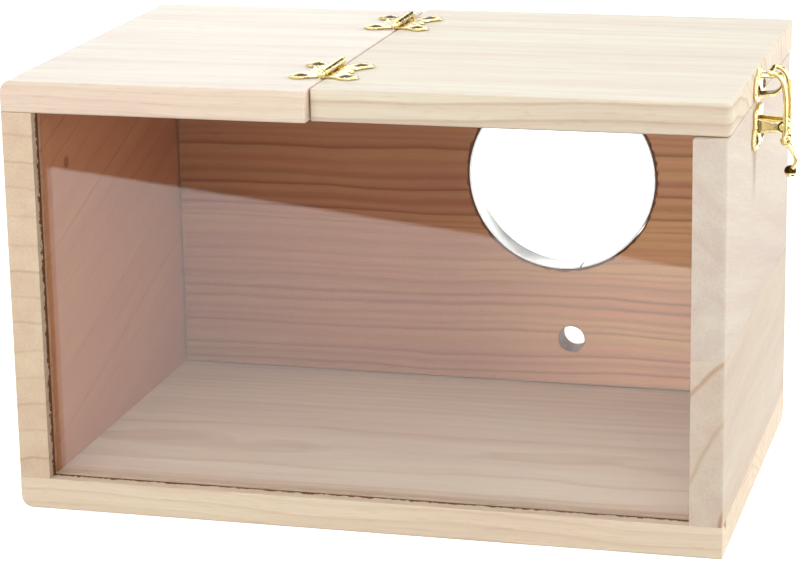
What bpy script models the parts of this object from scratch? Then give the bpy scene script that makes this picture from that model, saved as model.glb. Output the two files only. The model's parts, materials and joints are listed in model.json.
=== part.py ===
"""Wooden parrot nest box with a clear front, a hinged lid and a brass toggle latch.

Metres, +Z up. The origin is the middle of the underside. The clear front faces -Y, and the
latch is on the +X end. The lid turns on two hinges across the top; the latch lever turns on
a pin in the base plate, and the bail turns on the lever.
"""

import math

import bmesh
import bpy
from mathutils import Matrix, Vector

# Box and boards
BOX_WIDTH = 0.200
BOX_DEPTH = 0.127
BOX_HEIGHT = 0.1234
BOARD = 0.009
WOOD_GAP = 0.0003
ARRIS = 0.0006
TOP_CORNER_RADIUS = 0.0035
FLOOR_CORNER_RADIUS = 0.003
FLOOR_BACK_RADIUS = 0.004
STAVE_JOINT_HEIGHT = 0.055
CUT_OVERRUN = 0.002

# Lid
SEAM_FROM_LEFT = 0.0875
SEAM_GAP = 0.0004
LID_SETBACK = 0.003
LID_OVERHANG = 0.0003
LID_CORNER_RADIUS = 0.0018

# Front pane in its grooves
PANE_THICKNESS = 0.0026
PANE_CLEARANCE = 0.0003
PANE_SETBACK = 0.0046
GROOVE_DEPTH = 0.0025

# Entrance hole with its metal liner, and the perch hole under it
ENTRANCE_FROM_RIGHT = 0.0675
ENTRANCE_BELOW_EDGE = 0.0102
LINER_DIAMETER = 0.0578
LINER_WALL = 0.0006
LINER_GAP = 0.0003
LINER_SPLIT = 0.0006
LINER_SPLIT_ANGLE = math.radians(-78)
PERCH_FROM_RIGHT = 0.0645
PERCH_DIAMETER = 0.008
PERCH_HEIGHT_share = 0.4

# Brads that hold the floor
BRAD_LENGTH = 0.018
BRAD_DIAMETER = 0.0012
BRAD_HEAD_DIAMETER = 0.0022
BRAD_HEAD_HEIGHT = 0.0006
BRAD_SET = 0.0004
BRAD_POINT = 0.002
BRAD_CLEARANCE = 0.0003
FLOOR_BRAD_shares = (0.18, 0.5, 0.82)

# Screws of the hinges and the latch
SCREW_LENGTH = 0.0074
SCREW_DIAMETER = 0.0016
SCREW_HEAD_DIAMETER = 0.0031
SCREW_HEAD_DOME = 0.00035
SCREW_HEAD_CONE = 0.0006
SCREW_POINT = 0.0018
SCREW_CLEARANCE = 0.0003

# Hinges
HINGE_LENGTH = 0.022
HINGE_REACH = 0.0099
KNUCKLE_LENGTH = 0.0172
HINGE_LEAF = 0.0006
HINGE_SEAT_GAP = 0.0002
HINGE_AXIS_HEIGHT = 0.0015
KNUCKLE_DIAMETER = 0.0025
HINGE_PIN_DIAMETER = 0.0011
HINGE_BALL_DIAMETER = 0.0023
HINGE_CLEARANCE = 0.0003
HINGE_HOLE_REACH = 0.0063
HINGE_HOLE_SPACING = 0.0164
FRONT_HINGE_FROM_FRONT = 0.0252
REAR_HINGE_FROM_FRONT = 0.1020
MIDDLE_KNUCKLE_share = 0.34
LEAF_OUTLINE_shares = (
    (0.0, 0.78), (0.22, 0.84), (0.46, 0.97), (0.72, 0.99), (0.93, 0.88), (1.0, 0.72),
    (0.86, 0.58), (0.68, 0.44), (0.54, 0.27), (0.50, 0.12), (0.60, 0.0),
)

# Latch plates
LATCH_FROM_FRONT = 0.0535
PLATE_THICKNESS = 0.001
PLATE_SEAT_GAP = 0.0002
CATCH_WIDTH = 0.018
CATCH_HEIGHT = 0.0084
BASE_WIDTH = 0.018
BASE_HEIGHT = 0.0124
BASE_BELOW_EDGE = 0.0009
LATCH_SCREW_SPACING = 0.0108
CATCH_SCREW_share = 0.38
BASE_SCREW_share = 0.27
CATCH_OUTLINE_shares = (
    (0.0, 0.0), (0.40, 0.05), (0.66, 0.0), (0.94, 0.12), (1.0, 0.40), (0.84, 0.72),
    (0.62, 0.84), (0.40, 0.78), (0.22, 0.93), (0.0, 1.0),
)
BASE_OUTLINE_shares = (
    (0.0, 0.0), (0.24, 0.07), (0.46, 0.03), (0.80, 0.06), (1.0, 0.24), (0.90, 0.46),
    (0.68, 0.60), (0.72, 0.78), (0.58, 0.95), (0.30, 0.92), (0.0, 1.0),
)

# Hook of the catch, a loop of strip that carries the bail
HOOK_WIDTH = 0.0052
HOOK_REACH = 0.0058
HOOK_STRIP = 0.0011
HOOK_SEAT_BELOW_TOP = 0.0017
HOOK_RISE = 0.0052
HOOK_LOOP_shares = (
    (0.30, 0.02), (0.66, 0.10), (0.93, 0.36), (1.0, 0.66), (0.90, 0.95), (0.72, 1.06), (0.50, 1.0),
)

# Lever, its pin and the ears that carry it
LEVER_PIN_STANDOFF = 0.0078
LEVER_PIN_BELOW_EDGE = 0.0066
LEVER_PIN_DIAMETER = 0.0014
LEVER_PIN_HEAD = 0.0005
LEVER_PIN_HEAD_DIAMETER = 0.0022
LATCH_CLEARANCE = 0.0003
EAR_THICKNESS = 0.0008
EAR_RADIUS = 0.0016
LEVER_WIDTH = 0.0040
LEVER_BARREL_DIAMETER = 0.0030
LEVER_EYE_DIAMETER = 0.0029
LEVER_STRIP = 0.0012
LEVER_DROP = 0.0129
LEVER_SWEEP = 0.0035
LEVER_KNOB_DIAMETER = 0.0034
LEVER_PATH_shares = ((0.54, 0.50), (0.94, 0.69), (0.98, 0.80), (0.76, 0.90), (0.52, 1.0))

# Bail of round wire between the lever and the hook
WIRE_DIAMETER = 0.0013
BAIL_PIVOT_DROP = 0.0041
BAIL_PIVOT_OUT = 0.0005
BAIL_WIDTH = 0.0098
BAIL_BEND_RADIUS = 0.0012
BAIL_TENON = 0.0012
BAIL_LEAN = 0.0042
BAIL_ARM_shares = ((-0.07, 0.26), (-0.06, 0.58), (0.06, 0.83), (0.36, 0.95), (0.70, 0.995))

# Facets
ROUND_STEPS = 24
LINER_STEPS = 72
SMALL_STEPS = 12
BALL_RINGS = 6
CORNER_STEPS = 3
CURVE_STEPS = 3
BEND_STEPS = 4
GENTLE_BEND = math.radians(150)
WIRE_RESOLUTION = 2

# Worked out from the sizes above
LEFT = -BOX_WIDTH / 2
RIGHT = BOX_WIDTH / 2
FRONT = -BOX_DEPTH / 2
BACK = BOX_DEPTH / 2
TOP_UNDERSIDE = BOX_HEIGHT - BOARD
SIDE_FOOT = BOARD + WOOD_GAP
SIDE_TOP = TOP_UNDERSIDE - WOOD_GAP
ENTRANCE_HEIGHT = SIDE_TOP - ENTRANCE_BELOW_EDGE - LINER_DIAMETER / 2
ENTRANCE_FOOT = ENTRANCE_HEIGHT - LINER_DIAMETER / 2 - LINER_GAP
PERCH_HEIGHT = SIDE_FOOT + PERCH_HEIGHT_share * (ENTRANCE_FOOT - SIDE_FOOT)
SEAM = LEFT + SEAM_FROM_LEFT
HINGE_AXIS = BOX_HEIGHT + HINGE_AXIS_HEIGHT
LATCH_Y = FRONT + LATCH_FROM_FRONT
LID_END = RIGHT + LID_OVERHANG
LEVER_AXIS = Vector((RIGHT + LEVER_PIN_STANDOFF, LATCH_Y, SIDE_TOP - LEVER_PIN_BELOW_EDGE))
BAIL_AXIS = LEVER_AXIS + Vector((BAIL_PIVOT_OUT, 0, -BAIL_PIVOT_DROP))
BRASS = ("brass", (0.79, 0.57, 0.20), 0.28, 1.0)
STEEL = ("steel", (0.55, 0.55, 0.56), 0.35, 1.0)
PINE = ("pine", (0.80, 0.68, 0.50), 0.62, 0.0)
ACRYLIC = ("acrylic", (0.92, 0.93, 0.96), 0.05, 0.0)
ALUMINIUM = ("aluminium", (0.78, 0.79, 0.80), 0.30, 1.0)


def clear_scene():
    for obj in list(bpy.data.objects):
        bpy.data.objects.remove(obj, do_unlink=True)


def collection(name):
    group = bpy.data.collections.new(name)
    bpy.context.scene.collection.children.link(group)
    return group


clear_scene()
PARTS = collection("parrot_nest_box")
CUTTERS = collection("cutters")


# Making and finishing objects

def finish(obj, look):
    """Give the object its own Principled material."""
    label, colour, roughness, metallic = look
    mat = bpy.data.materials.new(obj.name + " " + label)
    mat.use_nodes = True
    shader = mat.node_tree.nodes["Principled BSDF"]
    shader.inputs["Base Color"].default_value = (*colour, 1.0)
    shader.inputs["Roughness"].default_value = roughness
    shader.inputs["Metallic"].default_value = metallic
    mat.diffuse_color = (*colour, 1.0)
    obj.data.materials.clear()
    obj.data.materials.append(mat)


def make_object(name, mesh, look=None, location=(0, 0, 0), rotation=None):
    """A part if it has a look, and otherwise a hidden tool for a Boolean."""
    obj = bpy.data.objects.new(name, mesh)
    obj.location = location
    if rotation is not None:
        obj.rotation_euler = rotation.to_euler()
    if look is None:
        CUTTERS.objects.link(obj)
        obj.hide_render = True
        obj.display_type = "WIRE"
    else:
        PARTS.objects.link(obj)
        finish(obj, look)
    return obj


def mesh_from(bm, name, smooth_angle=None):
    mesh = bpy.data.meshes.new(name)
    bm.to_mesh(mesh)
    bm.free()
    if smooth_angle is not None:
        mesh.shade_smooth()
        mesh.set_sharp_from_angle(angle=smooth_angle)
    return mesh


def attach(obj, empty, world):
    """Parent the object to an empty that stands at a world position."""
    obj.location = Vector(obj.location) - Vector(world)
    obj.parent = empty


def axis_empty(name, world, parent=None, parent_world=(0, 0, 0)):
    empty = bpy.data.objects.new(name, None)
    empty.empty_display_size = KNUCKLE_DIAMETER
    PARTS.objects.link(empty)
    empty.location = world
    if parent is not None:
        attach(empty, parent, parent_world)
    return empty


def combine(target, tool, operation):
    """Cut the target by the tool, or join the tool to it."""
    modifier = target.modifiers.new(operation.lower() + " " + tool.name, "BOOLEAN")
    modifier.operation = operation
    modifier.object = tool
    modifier.solver = "EXACT"


def cut(target, tool):
    combine(target, tool, "DIFFERENCE")


def join(target, tool):
    combine(target, tool, "UNION")


# Basic shapes

def box_mesh(name, size):
    bm = bmesh.new()
    bmesh.ops.create_cube(bm, size=1.0, matrix=Matrix.Diagonal((*size, 1.0)))
    return mesh_from(bm, name)


def box_between(name, low, high, look=None):
    """A block between two corners, with its origin in its middle."""
    low = Vector(low)
    high = Vector(high)
    return make_object(name, box_mesh(name, high - low), look, (low + high) / 2)


def rod_between(name, start, end, radius, look=None, steps=SMALL_STEPS):
    """A round rod from one point to another, with its origin in its middle."""
    start = Vector(start)
    end = Vector(end)
    bm = bmesh.new()
    bmesh.ops.create_cone(bm, cap_ends=True, segments=steps, radius1=radius, radius2=radius,
                          depth=(end - start).length)
    turn = Vector((0, 0, 1)).rotation_difference(end - start)
    return make_object(name, mesh_from(bm, name, math.radians(40)), look, (start + end) / 2, turn)


def turned(name, profile, look=None, location=(0, 0, 0), along=(0, 0, 1), steps=SMALL_STEPS):
    """A profile of (radius, height) points, from top to bottom, turned by a Screw modifier."""
    mesh = bpy.data.meshes.new(name)
    points = [(radius, 0, height) for radius, height in profile]
    mesh.from_pydata(points, [(i, i + 1) for i in range(len(points) - 1)], [])
    obj = make_object(name, mesh, look, location, Vector((0, 0, 1)).rotation_difference(Vector(along)))
    screw = obj.modifiers.new("turn", "SCREW")
    screw.steps = steps
    screw.render_steps = steps
    screw.use_merge_vertices = True
    screw.merge_threshold = 0.00001
    screw.use_smooth_shade = False
    return obj


def smooth_curve(points, steps=CURVE_STEPS):
    """Points on a Catmull-Rom curve through the given ones, which it includes."""
    ends = [points[0], *points, points[-1]]
    result = []
    for a, b, c, d in zip(ends, ends[1:], ends[2:], ends[3:]):
        for step in range(steps):
            t = step / steps
            result.append((2 * b + (c - a) * t + (2 * a - 5 * b + 4 * c - d) * t ** 2
                           + (3 * b - a - 3 * c + d) * t ** 3) / 2)
    result.append(points[-1])
    return result


def curve_to_mesh(obj, look):
    """Replace a curve object by its mesh, with the caps welded."""
    graph = bpy.context.evaluated_depsgraph_get()
    mesh = bpy.data.meshes.new_from_object(obj.evaluated_get(graph))
    matrix = obj.matrix_world.copy()
    name = obj.name
    bpy.data.objects.remove(obj, do_unlink=True)
    bm = bmesh.new()
    bm.from_mesh(mesh)
    bmesh.ops.remove_doubles(bm, verts=bm.verts, dist=0.000001)
    bmesh.ops.recalc_face_normals(bm, faces=bm.faces)
    bm.to_mesh(mesh)
    bm.free()
    solid = make_object(name, mesh, look)
    solid.matrix_world = matrix
    return solid


def plate(name, outline, thickness, look=None, location=(0, 0, 0), turn=Matrix()):
    """A flat outline in the turned XY plane, as thick as given, centred on its plane."""
    curve = bpy.data.curves.new(name, "CURVE")
    curve.dimensions = "2D"
    curve.fill_mode = "BOTH"
    curve.extrude = thickness / 2
    spline = curve.splines.new("POLY")
    spline.points.add(len(outline) - 1)
    for point, place in zip(spline.points, outline):
        point.co = (place[0], place[1], 0, 1)
    spline.use_cyclic_u = True
    obj = bpy.data.objects.new(name, curve)
    CUTTERS.objects.link(obj)
    obj.matrix_world = Matrix.Translation(location) @ turn
    bpy.context.view_layer.update()
    return curve_to_mesh(obj, look)


# Turn matrices that lay an outline in a plane of the box
FACING_RIGHT = Matrix(((0, 0, 1, 0), (1, 0, 0, 0), (0, 1, 0, 0), (0, 0, 0, 1)))
FACING_FRONT = Matrix(((1, 0, 0, 0), (0, 0, -1, 0), (0, 1, 0, 0), (0, 0, 0, 1)))


def mirrored(points):
    """An outline's right half, from the bottom up, with its left half added."""
    left = [Vector((-p.x, p.y)) for p in reversed(points) if abs(p.x) > LATCH_CLEARANCE / 10]
    return list(points) + left


# Boards

def round_edges(obj, radii):
    """Round the edges between two named sides, and ease every other edge by the arris."""
    widest = max([ARRIS, *radii.values()])
    bm = bmesh.new()
    bm.from_mesh(obj.data)
    layer = bm.edges.layers.float.new("bevel_weight_edge")
    for edge in bm.edges:
        middle = (edge.verts[0].co + edge.verts[1].co) / 2
        radius = ARRIS
        for sides, wanted in radii.items():
            if all(on_side(middle, side) for side in sides):
                on_both = sum(abs(value) > 0 for value in middle)
                radius = wanted if on_both == len(sides) else radius
        edge[layer] = radius / widest
    bm.to_mesh(obj.data)
    bm.free()
    bevel = obj.modifiers.new("rounded edges", "BEVEL")
    bevel.limit_method = "WEIGHT"
    bevel.width = widest
    bevel.segments = CORNER_STEPS


def on_side(middle, side):
    """Whether a place, measured from the middle of a board, lies towards the named side of it."""
    towards = {"left": middle.x < 0, "right": middle.x > 0, "front": middle.y < 0,
               "back": middle.y > 0, "under": middle.z < 0, "top": middle.z > 0}
    return towards[side]


def board(name, low, high, radii=None):
    plank = box_between(name, low, high, PINE)
    round_edges(plank, radii or {})
    return plank


def make_boards():
    """The floor, the ends, the back and the two top boards, as one dictionary."""
    inner_left = LEFT + BOARD
    inner_right = RIGHT - BOARD
    boards = {}
    boards["floor_board"] = board(
        "floor_board", (LEFT, FRONT, 0), (RIGHT, BACK, BOARD),
        {("left", "under"): FLOOR_CORNER_RADIUS, ("back", "under"): FLOOR_BACK_RADIUS})
    boards["left_side_panel"] = board(
        "left_side_panel", (LEFT, FRONT, SIDE_FOOT), (inner_left, BACK, SIDE_TOP))
    boards["right_side_lower_board"] = board(
        "right_side_lower_board", (inner_right, FRONT, SIDE_FOOT), (RIGHT, BACK, STAVE_JOINT_HEIGHT))
    boards["right_side_upper_board"] = board(
        "right_side_upper_board", (inner_right, FRONT, STAVE_JOINT_HEIGHT + WOOD_GAP),
        (RIGHT, BACK, SIDE_TOP))
    boards["back_panel"] = board(
        "back_panel", (inner_left + WOOD_GAP, BACK - BOARD, SIDE_FOOT),
        (inner_right - WOOD_GAP, BACK, SIDE_TOP))
    boards["fixed_top_board"] = board(
        "fixed_top_board", (LEFT, FRONT, TOP_UNDERSIDE), (SEAM - SEAM_GAP / 2, BACK, BOX_HEIGHT),
        {("left", "top"): TOP_CORNER_RADIUS})
    boards["lid_board"] = board(
        "lid_board", (SEAM + SEAM_GAP / 2, FRONT + LID_SETBACK, TOP_UNDERSIDE),
        (LID_END, BACK + LID_SETBACK, BOX_HEIGHT),
        {("right", "front"): LID_CORNER_RADIUS, ("right", "back"): LID_CORNER_RADIUS})
    return boards


def make_pane(boards):
    """The clear pane, with a groove for it in the floor and in both ends."""
    groove_left = LEFT + BOARD - GROOVE_DEPTH
    groove_right = RIGHT - BOARD + GROOVE_DEPTH
    groove_floor = BOARD - GROOVE_DEPTH
    pane_front = FRONT + PANE_SETBACK
    pane_back = pane_front + PANE_THICKNESS
    box_between(
        "window_pane",
        (groove_left + PANE_CLEARANCE, pane_front, groove_floor + PANE_CLEARANCE),
        (groove_right - PANE_CLEARANCE, pane_back, SIDE_TOP), ACRYLIC)
    slot_front = pane_front - PANE_CLEARANCE
    slot_back = pane_back + PANE_CLEARANCE
    above = SIDE_TOP + CUT_OVERRUN
    floor_slot = box_between("floor groove", (LEFT - CUT_OVERRUN, slot_front, groove_floor),
                             (RIGHT + CUT_OVERRUN, slot_back, BOARD + CUT_OVERRUN))
    left_slot = box_between("left groove", (groove_left, slot_front, 0),
                            (LEFT + BOARD + CUT_OVERRUN, slot_back, above))
    right_slot = box_between("right groove", (RIGHT - BOARD - CUT_OVERRUN, slot_front, 0),
                             (groove_right, slot_back, above))
    cut(boards["floor_board"], floor_slot)
    cut(boards["left_side_panel"], left_slot)
    cut(boards["right_side_lower_board"], right_slot)
    cut(boards["right_side_upper_board"], right_slot)


def make_holes(boards):
    """The entrance hole with its liner, a strip of metal bent to a split ring, and the perch hole."""
    centre_x = RIGHT - ENTRANCE_FROM_RIGHT
    outer = LINER_DIAMETER / 2
    bore_start = (centre_x, BACK - BOARD - CUT_OVERRUN, ENTRANCE_HEIGHT)
    bore_end = (centre_x, BACK + CUT_OVERRUN, ENTRANCE_HEIGHT)
    entrance = rod_between("entrance bore", bore_start, bore_end, outer + LINER_GAP, steps=LINER_STEPS)
    cut(boards["back_panel"], entrance)
    liner = rod_between("entrance_liner", (centre_x, BACK - BOARD, ENTRANCE_HEIGHT),
                        (centre_x, BACK, ENTRANCE_HEIGHT), outer, ALUMINIUM, LINER_STEPS)
    cut(liner, rod_between("liner bore", bore_start, bore_end, outer - LINER_WALL, steps=LINER_STEPS))
    split = make_object(
        "liner split", box_mesh("liner split", (LINER_WALL * 4, BOARD + 2 * CUT_OVERRUN, LINER_SPLIT)),
        None,
        (centre_x + outer * math.cos(LINER_SPLIT_ANGLE), BACK - BOARD / 2,
         ENTRANCE_HEIGHT + outer * math.sin(LINER_SPLIT_ANGLE)),
        Matrix.Rotation(-LINER_SPLIT_ANGLE, 3, "Y"))
    cut(liner, split)
    perch_x = RIGHT - PERCH_FROM_RIGHT
    perch = rod_between("perch bore", (perch_x, BACK - BOARD - CUT_OVERRUN, PERCH_HEIGHT),
                        (perch_x, BACK + CUT_OVERRUN, PERCH_HEIGHT), PERCH_DIAMETER / 2,
                        steps=ROUND_STEPS)
    cut(boards["back_panel"], perch)


# Brads

def brad_profile(clearance, outside):
    """The brad from its head down, wider by the clearance and longer outside for its hole."""
    head = BRAD_HEAD_DIAMETER / 2 + clearance
    shank = BRAD_DIAMETER / 2 + clearance
    under_head = -BRAD_SET - BRAD_HEAD_HEIGHT - clearance
    tip = -BRAD_SET - BRAD_LENGTH - clearance
    return ((0, outside), (head, outside), (head, under_head), (shank, under_head),
            (shank, tip + BRAD_POINT), (0, tip))


def brad(name, surface_point, outward, boards):
    """A brad driven in at a surface point, and its hole through the boards it holds."""
    turned(name, brad_profile(0, -BRAD_SET), STEEL, surface_point, outward)
    hole = turned(name + " hole", brad_profile(BRAD_CLEARANCE, CUT_OVERRUN), None, surface_point, outward)
    for plank in boards:
        cut(plank, hole)


def make_brads(boards):
    down = (0, 0, -1)
    floor = boards["floor_board"]
    back = boards["back_panel"]
    left = boards["left_side_panel"]
    lower = boards["right_side_lower_board"]
    back_y = BACK - BOARD / 2
    for number, share in enumerate(FLOOR_BRAD_shares, 1):
        y = FRONT + share * BOX_DEPTH
        x = LEFT + share * BOX_WIDTH
        brad("floor_brad_left_%d" % number, (LEFT + BOARD / 2, y, 0), down, (floor, left))
        brad("floor_brad_right_%d" % number, (RIGHT - BOARD / 2, y, 0), down, (floor, lower))
        brad("floor_brad_back_%d" % number, (x, back_y, 0), down, (floor, back))


# Screws

def screw(name, plate_face, outward, cut_pieces):
    """An oval-head screw set in the face of a plate, and its hole through the plate and the wood."""
    head = SCREW_HEAD_DIAMETER / 2
    shank = SCREW_DIAMETER / 2
    slack = SCREW_CLEARANCE
    piece = turned(
        name, ((0, SCREW_HEAD_DOME), (head * 0.6, SCREW_HEAD_DOME * 0.72), (head, 0),
               (shank, -SCREW_HEAD_CONE), (shank, -SCREW_LENGTH + SCREW_POINT), (0, -SCREW_LENGTH)),
        BRASS, plate_face, outward)
    hole = turned(
        name + " hole", ((0, CUT_OVERRUN), (head + slack, CUT_OVERRUN), (head + slack, 0),
                         (shank + slack, -SCREW_HEAD_CONE), (shank + slack, -SCREW_LENGTH),
                         (0, -SCREW_LENGTH - slack)),
        None, plate_face, outward)
    for other in cut_pieces:
        cut(other, hole)
    return piece


# Hinges

def leaf_outline(side, own_knuckles):
    """One leaf's outline, seen from above, with a tab under each of its own knuckles.

    The wing's edge is a smooth curve through shares of the leaf's reach and half length, and
    the inner edge steps in to the axis beside each knuckle.
    """
    inner = KNUCKLE_DIAMETER / 2 + HINGE_CLEARANCE
    half = HINGE_LENGTH / 2
    upper = [Vector((inner + u * (HINGE_REACH - inner), v * half)) for u, v in LEAF_OUTLINE_shares]
    wing = smooth_curve(upper + [Vector((p.x, -p.y)) for p in reversed(upper[:-1])])
    steps = []
    for low, high in own_knuckles:
        steps += [Vector((inner, max(low, wing[-1].y))), Vector((0, max(low, wing[-1].y))),
                  Vector((0, min(high, wing[0].y))), Vector((inner, min(high, wing[0].y)))]
    outline = []
    for point in wing + steps:
        if not outline or (point - outline[-1]).length > HINGE_CLEARANCE / 10:
            outline.append(point)
    if (outline[0] - outline[-1]).length < HINGE_CLEARANCE / 10:
        outline.pop()
    return [Vector((side * p.x, p.y)) for p in outline]


def make_leaf(name, centre_y, side, own_knuckles):
    """A leaf on its board's top, with its knuckles round the pin's bore."""
    leaf_bottom = BOX_HEIGHT + HINGE_SEAT_GAP
    outline = leaf_outline(side, own_knuckles)
    leaf = plate(name, outline, HINGE_LEAF, BRASS, (SEAM, centre_y, leaf_bottom + HINGE_LEAF / 2))
    for number, (low, high) in enumerate(own_knuckles, 1):
        knuckle = rod_between("%s knuckle %d" % (name, number), (SEAM, centre_y + low, HINGE_AXIS),
                              (SEAM, centre_y + high, HINGE_AXIS), KNUCKLE_DIAMETER / 2,
                              steps=ROUND_STEPS)
        join(leaf, knuckle)
    reach = KNUCKLE_LENGTH / 2 + CUT_OVERRUN
    bore = rod_between(name + " bore", (SEAM, centre_y - reach, HINGE_AXIS),
                       (SEAM, centre_y + reach, HINGE_AXIS),
                       HINGE_PIN_DIAMETER / 2 + HINGE_CLEARANCE)
    cut(leaf, bore)
    return leaf


def make_hinge_pin(name, centre_y):
    """A straight pin with a ball at each end, which keeps it in the knuckles."""
    ball = HINGE_BALL_DIAMETER / 2
    pin = HINGE_PIN_DIAMETER / 2
    centre = KNUCKLE_LENGTH / 2 + HINGE_CLEARANCE + ball
    neck = math.asin(pin / ball)
    arc = [(ball * math.sin(a), centre + ball * math.cos(a))
           for a in [(math.pi - neck) * i / BALL_RINGS for i in range(BALL_RINGS + 1)]]
    profile = arc + [(radius, -height) for radius, height in reversed(arc)]
    return turned(name, profile, BRASS, (SEAM, centre_y, HINGE_AXIS), (0, 1, 0))


def make_hinge(label, from_front, boards, lid_axis, lid_axis_world):
    """One butterfly hinge: two leaves, a pin and four screws."""
    centre_y = FRONT + from_front
    half = KNUCKLE_LENGTH / 2
    middle = half * MIDDLE_KNUCKLE_share
    fixed = make_leaf(label + "_hinge_fixed_leaf", centre_y, -1, [(-middle, middle)])
    moving = make_leaf(label + "_hinge_lid_leaf", centre_y, 1,
                       [(-half, -middle - HINGE_CLEARANCE), (middle + HINGE_CLEARANCE, half)])
    make_hinge_pin(label + "_hinge_pin", centre_y)
    face = BOX_HEIGHT + HINGE_SEAT_GAP + HINGE_LEAF
    for leaf, side, plank, word in ((fixed, -1, "fixed_top_board", "fixed"), (moving, 1, "lid_board", "lid")):
        for end, sign in (("front", -1), ("rear", 1)):
            place = (SEAM + side * HINGE_HOLE_REACH, centre_y + sign * HINGE_HOLE_SPACING / 2, face)
            piece = screw("%s_hinge_%s_screw_%s" % (label, word, end), place, (0, 0, 1),
                          (leaf, boards[plank]))
            if side > 0:
                attach(piece, lid_axis, lid_axis_world)
    attach(moving, lid_axis, lid_axis_world)


# Latch

def plate_outline(shares, width, height, foot):
    """A plate's outline from shares of its half width and height, smoothed and mirrored."""
    points = [Vector((u * width / 2, foot + v * height)) for u, v in shares]
    return mirrored(smooth_curve(points))


def strip_outline(path, thickness):
    """A strip of even thickness along a path: one side of the path, then the other side back."""
    one_side = []
    other_side = []
    for i, point in enumerate(path):
        before = path[max(i - 1, 0)]
        after = path[min(i + 1, len(path) - 1)]
        along = (after - before).normalized()
        across = Vector((-along.y, along.x)) * thickness / 2
        one_side.append(point + across)
        other_side.append(point - across)
    return one_side + other_side[::-1]


def make_catch(lid_board, lid_axis, lid_axis_world):
    """The catch on the lid's end: a scalloped plate with a looped hook, and two screws."""
    plate_back = LID_END + PLATE_SEAT_GAP
    foot = (TOP_UNDERSIDE + BOX_HEIGHT - CATCH_HEIGHT) / 2
    outline = plate_outline(CATCH_OUTLINE_shares, CATCH_WIDTH, CATCH_HEIGHT, foot)
    catch = plate("latch_catch_plate", outline, PLATE_THICKNESS, BRASS,
                  (plate_back + PLATE_THICKNESS / 2, LATCH_Y, 0), FACING_RIGHT)
    root = plate_back + PLATE_THICKNESS / 2
    face = plate_back + PLATE_THICKNESS
    seat = BOX_HEIGHT - HOOK_SEAT_BELOW_TOP - HOOK_STRIP / 2
    low = seat - HOOK_RISE
    loop = [Vector((face + u * HOOK_REACH, low + v * HOOK_RISE)) for u, v in HOOK_LOOP_shares]
    path = smooth_curve([Vector((root, low)), *loop, Vector((root, seat))])
    hook = plate("hook loop", strip_outline(path, HOOK_STRIP), HOOK_WIDTH, None, (0, LATCH_Y, 0),
                 FACING_FRONT)
    join(catch, hook)
    z = foot + CATCH_SCREW_share * CATCH_HEIGHT
    for end, sign in (("front", -1), ("rear", 1)):
        place = (face, LATCH_Y + sign * LATCH_SCREW_SPACING / 2, z)
        piece = screw("latch_catch_screw_" + end, place, (1, 0, 0), (catch, lid_board))
        attach(piece, lid_axis, lid_axis_world)
    attach(catch, lid_axis, lid_axis_world)


def make_base(side_board):
    """The base plate on the side, with two ears for the lever's pin, and two screws."""
    plate_back = RIGHT + PLATE_SEAT_GAP
    foot = SIDE_TOP - BASE_BELOW_EDGE - BASE_HEIGHT
    outline = plate_outline(BASE_OUTLINE_shares, BASE_WIDTH, BASE_HEIGHT, foot)
    base = plate("latch_base_plate", outline, PLATE_THICKNESS, BRASS,
                 (plate_back + PLATE_THICKNESS / 2, LATCH_Y, 0), FACING_RIGHT)
    root = plate_back + PLATE_THICKNESS / 2
    pin = Vector((LEVER_AXIS.x, LEVER_AXIS.z))
    half_circle = [pin + EAR_RADIUS * Vector((math.sin(a), -math.cos(a)))
                   for a in [math.pi * i / SMALL_STEPS for i in range(SMALL_STEPS + 1)]]
    ear_outline = [Vector((root, pin.y - 1.3 * EAR_RADIUS)), *half_circle,
                   Vector((root, pin.y + 1.3 * EAR_RADIUS))]
    offset = LEVER_WIDTH / 2 + LATCH_CLEARANCE + EAR_THICKNESS / 2
    for end, sign in (("front", -1), ("rear", 1)):
        ear = plate("ear " + end, ear_outline, EAR_THICKNESS, None, (0, LATCH_Y + sign * offset, 0),
                    FACING_FRONT)
        join(base, ear)
    reach = offset + EAR_THICKNESS
    bore = rod_between("ear bore", LEVER_AXIS - Vector((0, reach, 0)), LEVER_AXIS + Vector((0, reach, 0)),
                       LEVER_PIN_DIAMETER / 2 + LATCH_CLEARANCE)
    cut(base, bore)
    face = plate_back + PLATE_THICKNESS
    z = foot + BASE_SCREW_share * BASE_HEIGHT
    for end, sign in (("front", -1), ("rear", 1)):
        place = (face, LATCH_Y + sign * LATCH_SCREW_SPACING / 2, z)
        screw("latch_base_screw_" + end, place, (1, 0, 0), (base, side_board))


def make_lever_pin():
    """The pin across the ears, spread to a head at each end."""
    half = LEVER_WIDTH / 2 + LATCH_CLEARANCE + EAR_THICKNESS + LATCH_CLEARANCE
    pin = LEVER_PIN_DIAMETER / 2
    head = LEVER_PIN_HEAD_DIAMETER / 2
    top = half + LEVER_PIN_HEAD
    upper = [(0, top), (head * 0.7, top), (head, half + LEVER_PIN_HEAD / 2), (head, half), (pin, half)]
    profile = upper + [(radius, -height) for radius, height in reversed(upper)]
    turned("latch_lever_pin", profile, BRASS, LEVER_AXIS, (0, 1, 0))


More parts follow.
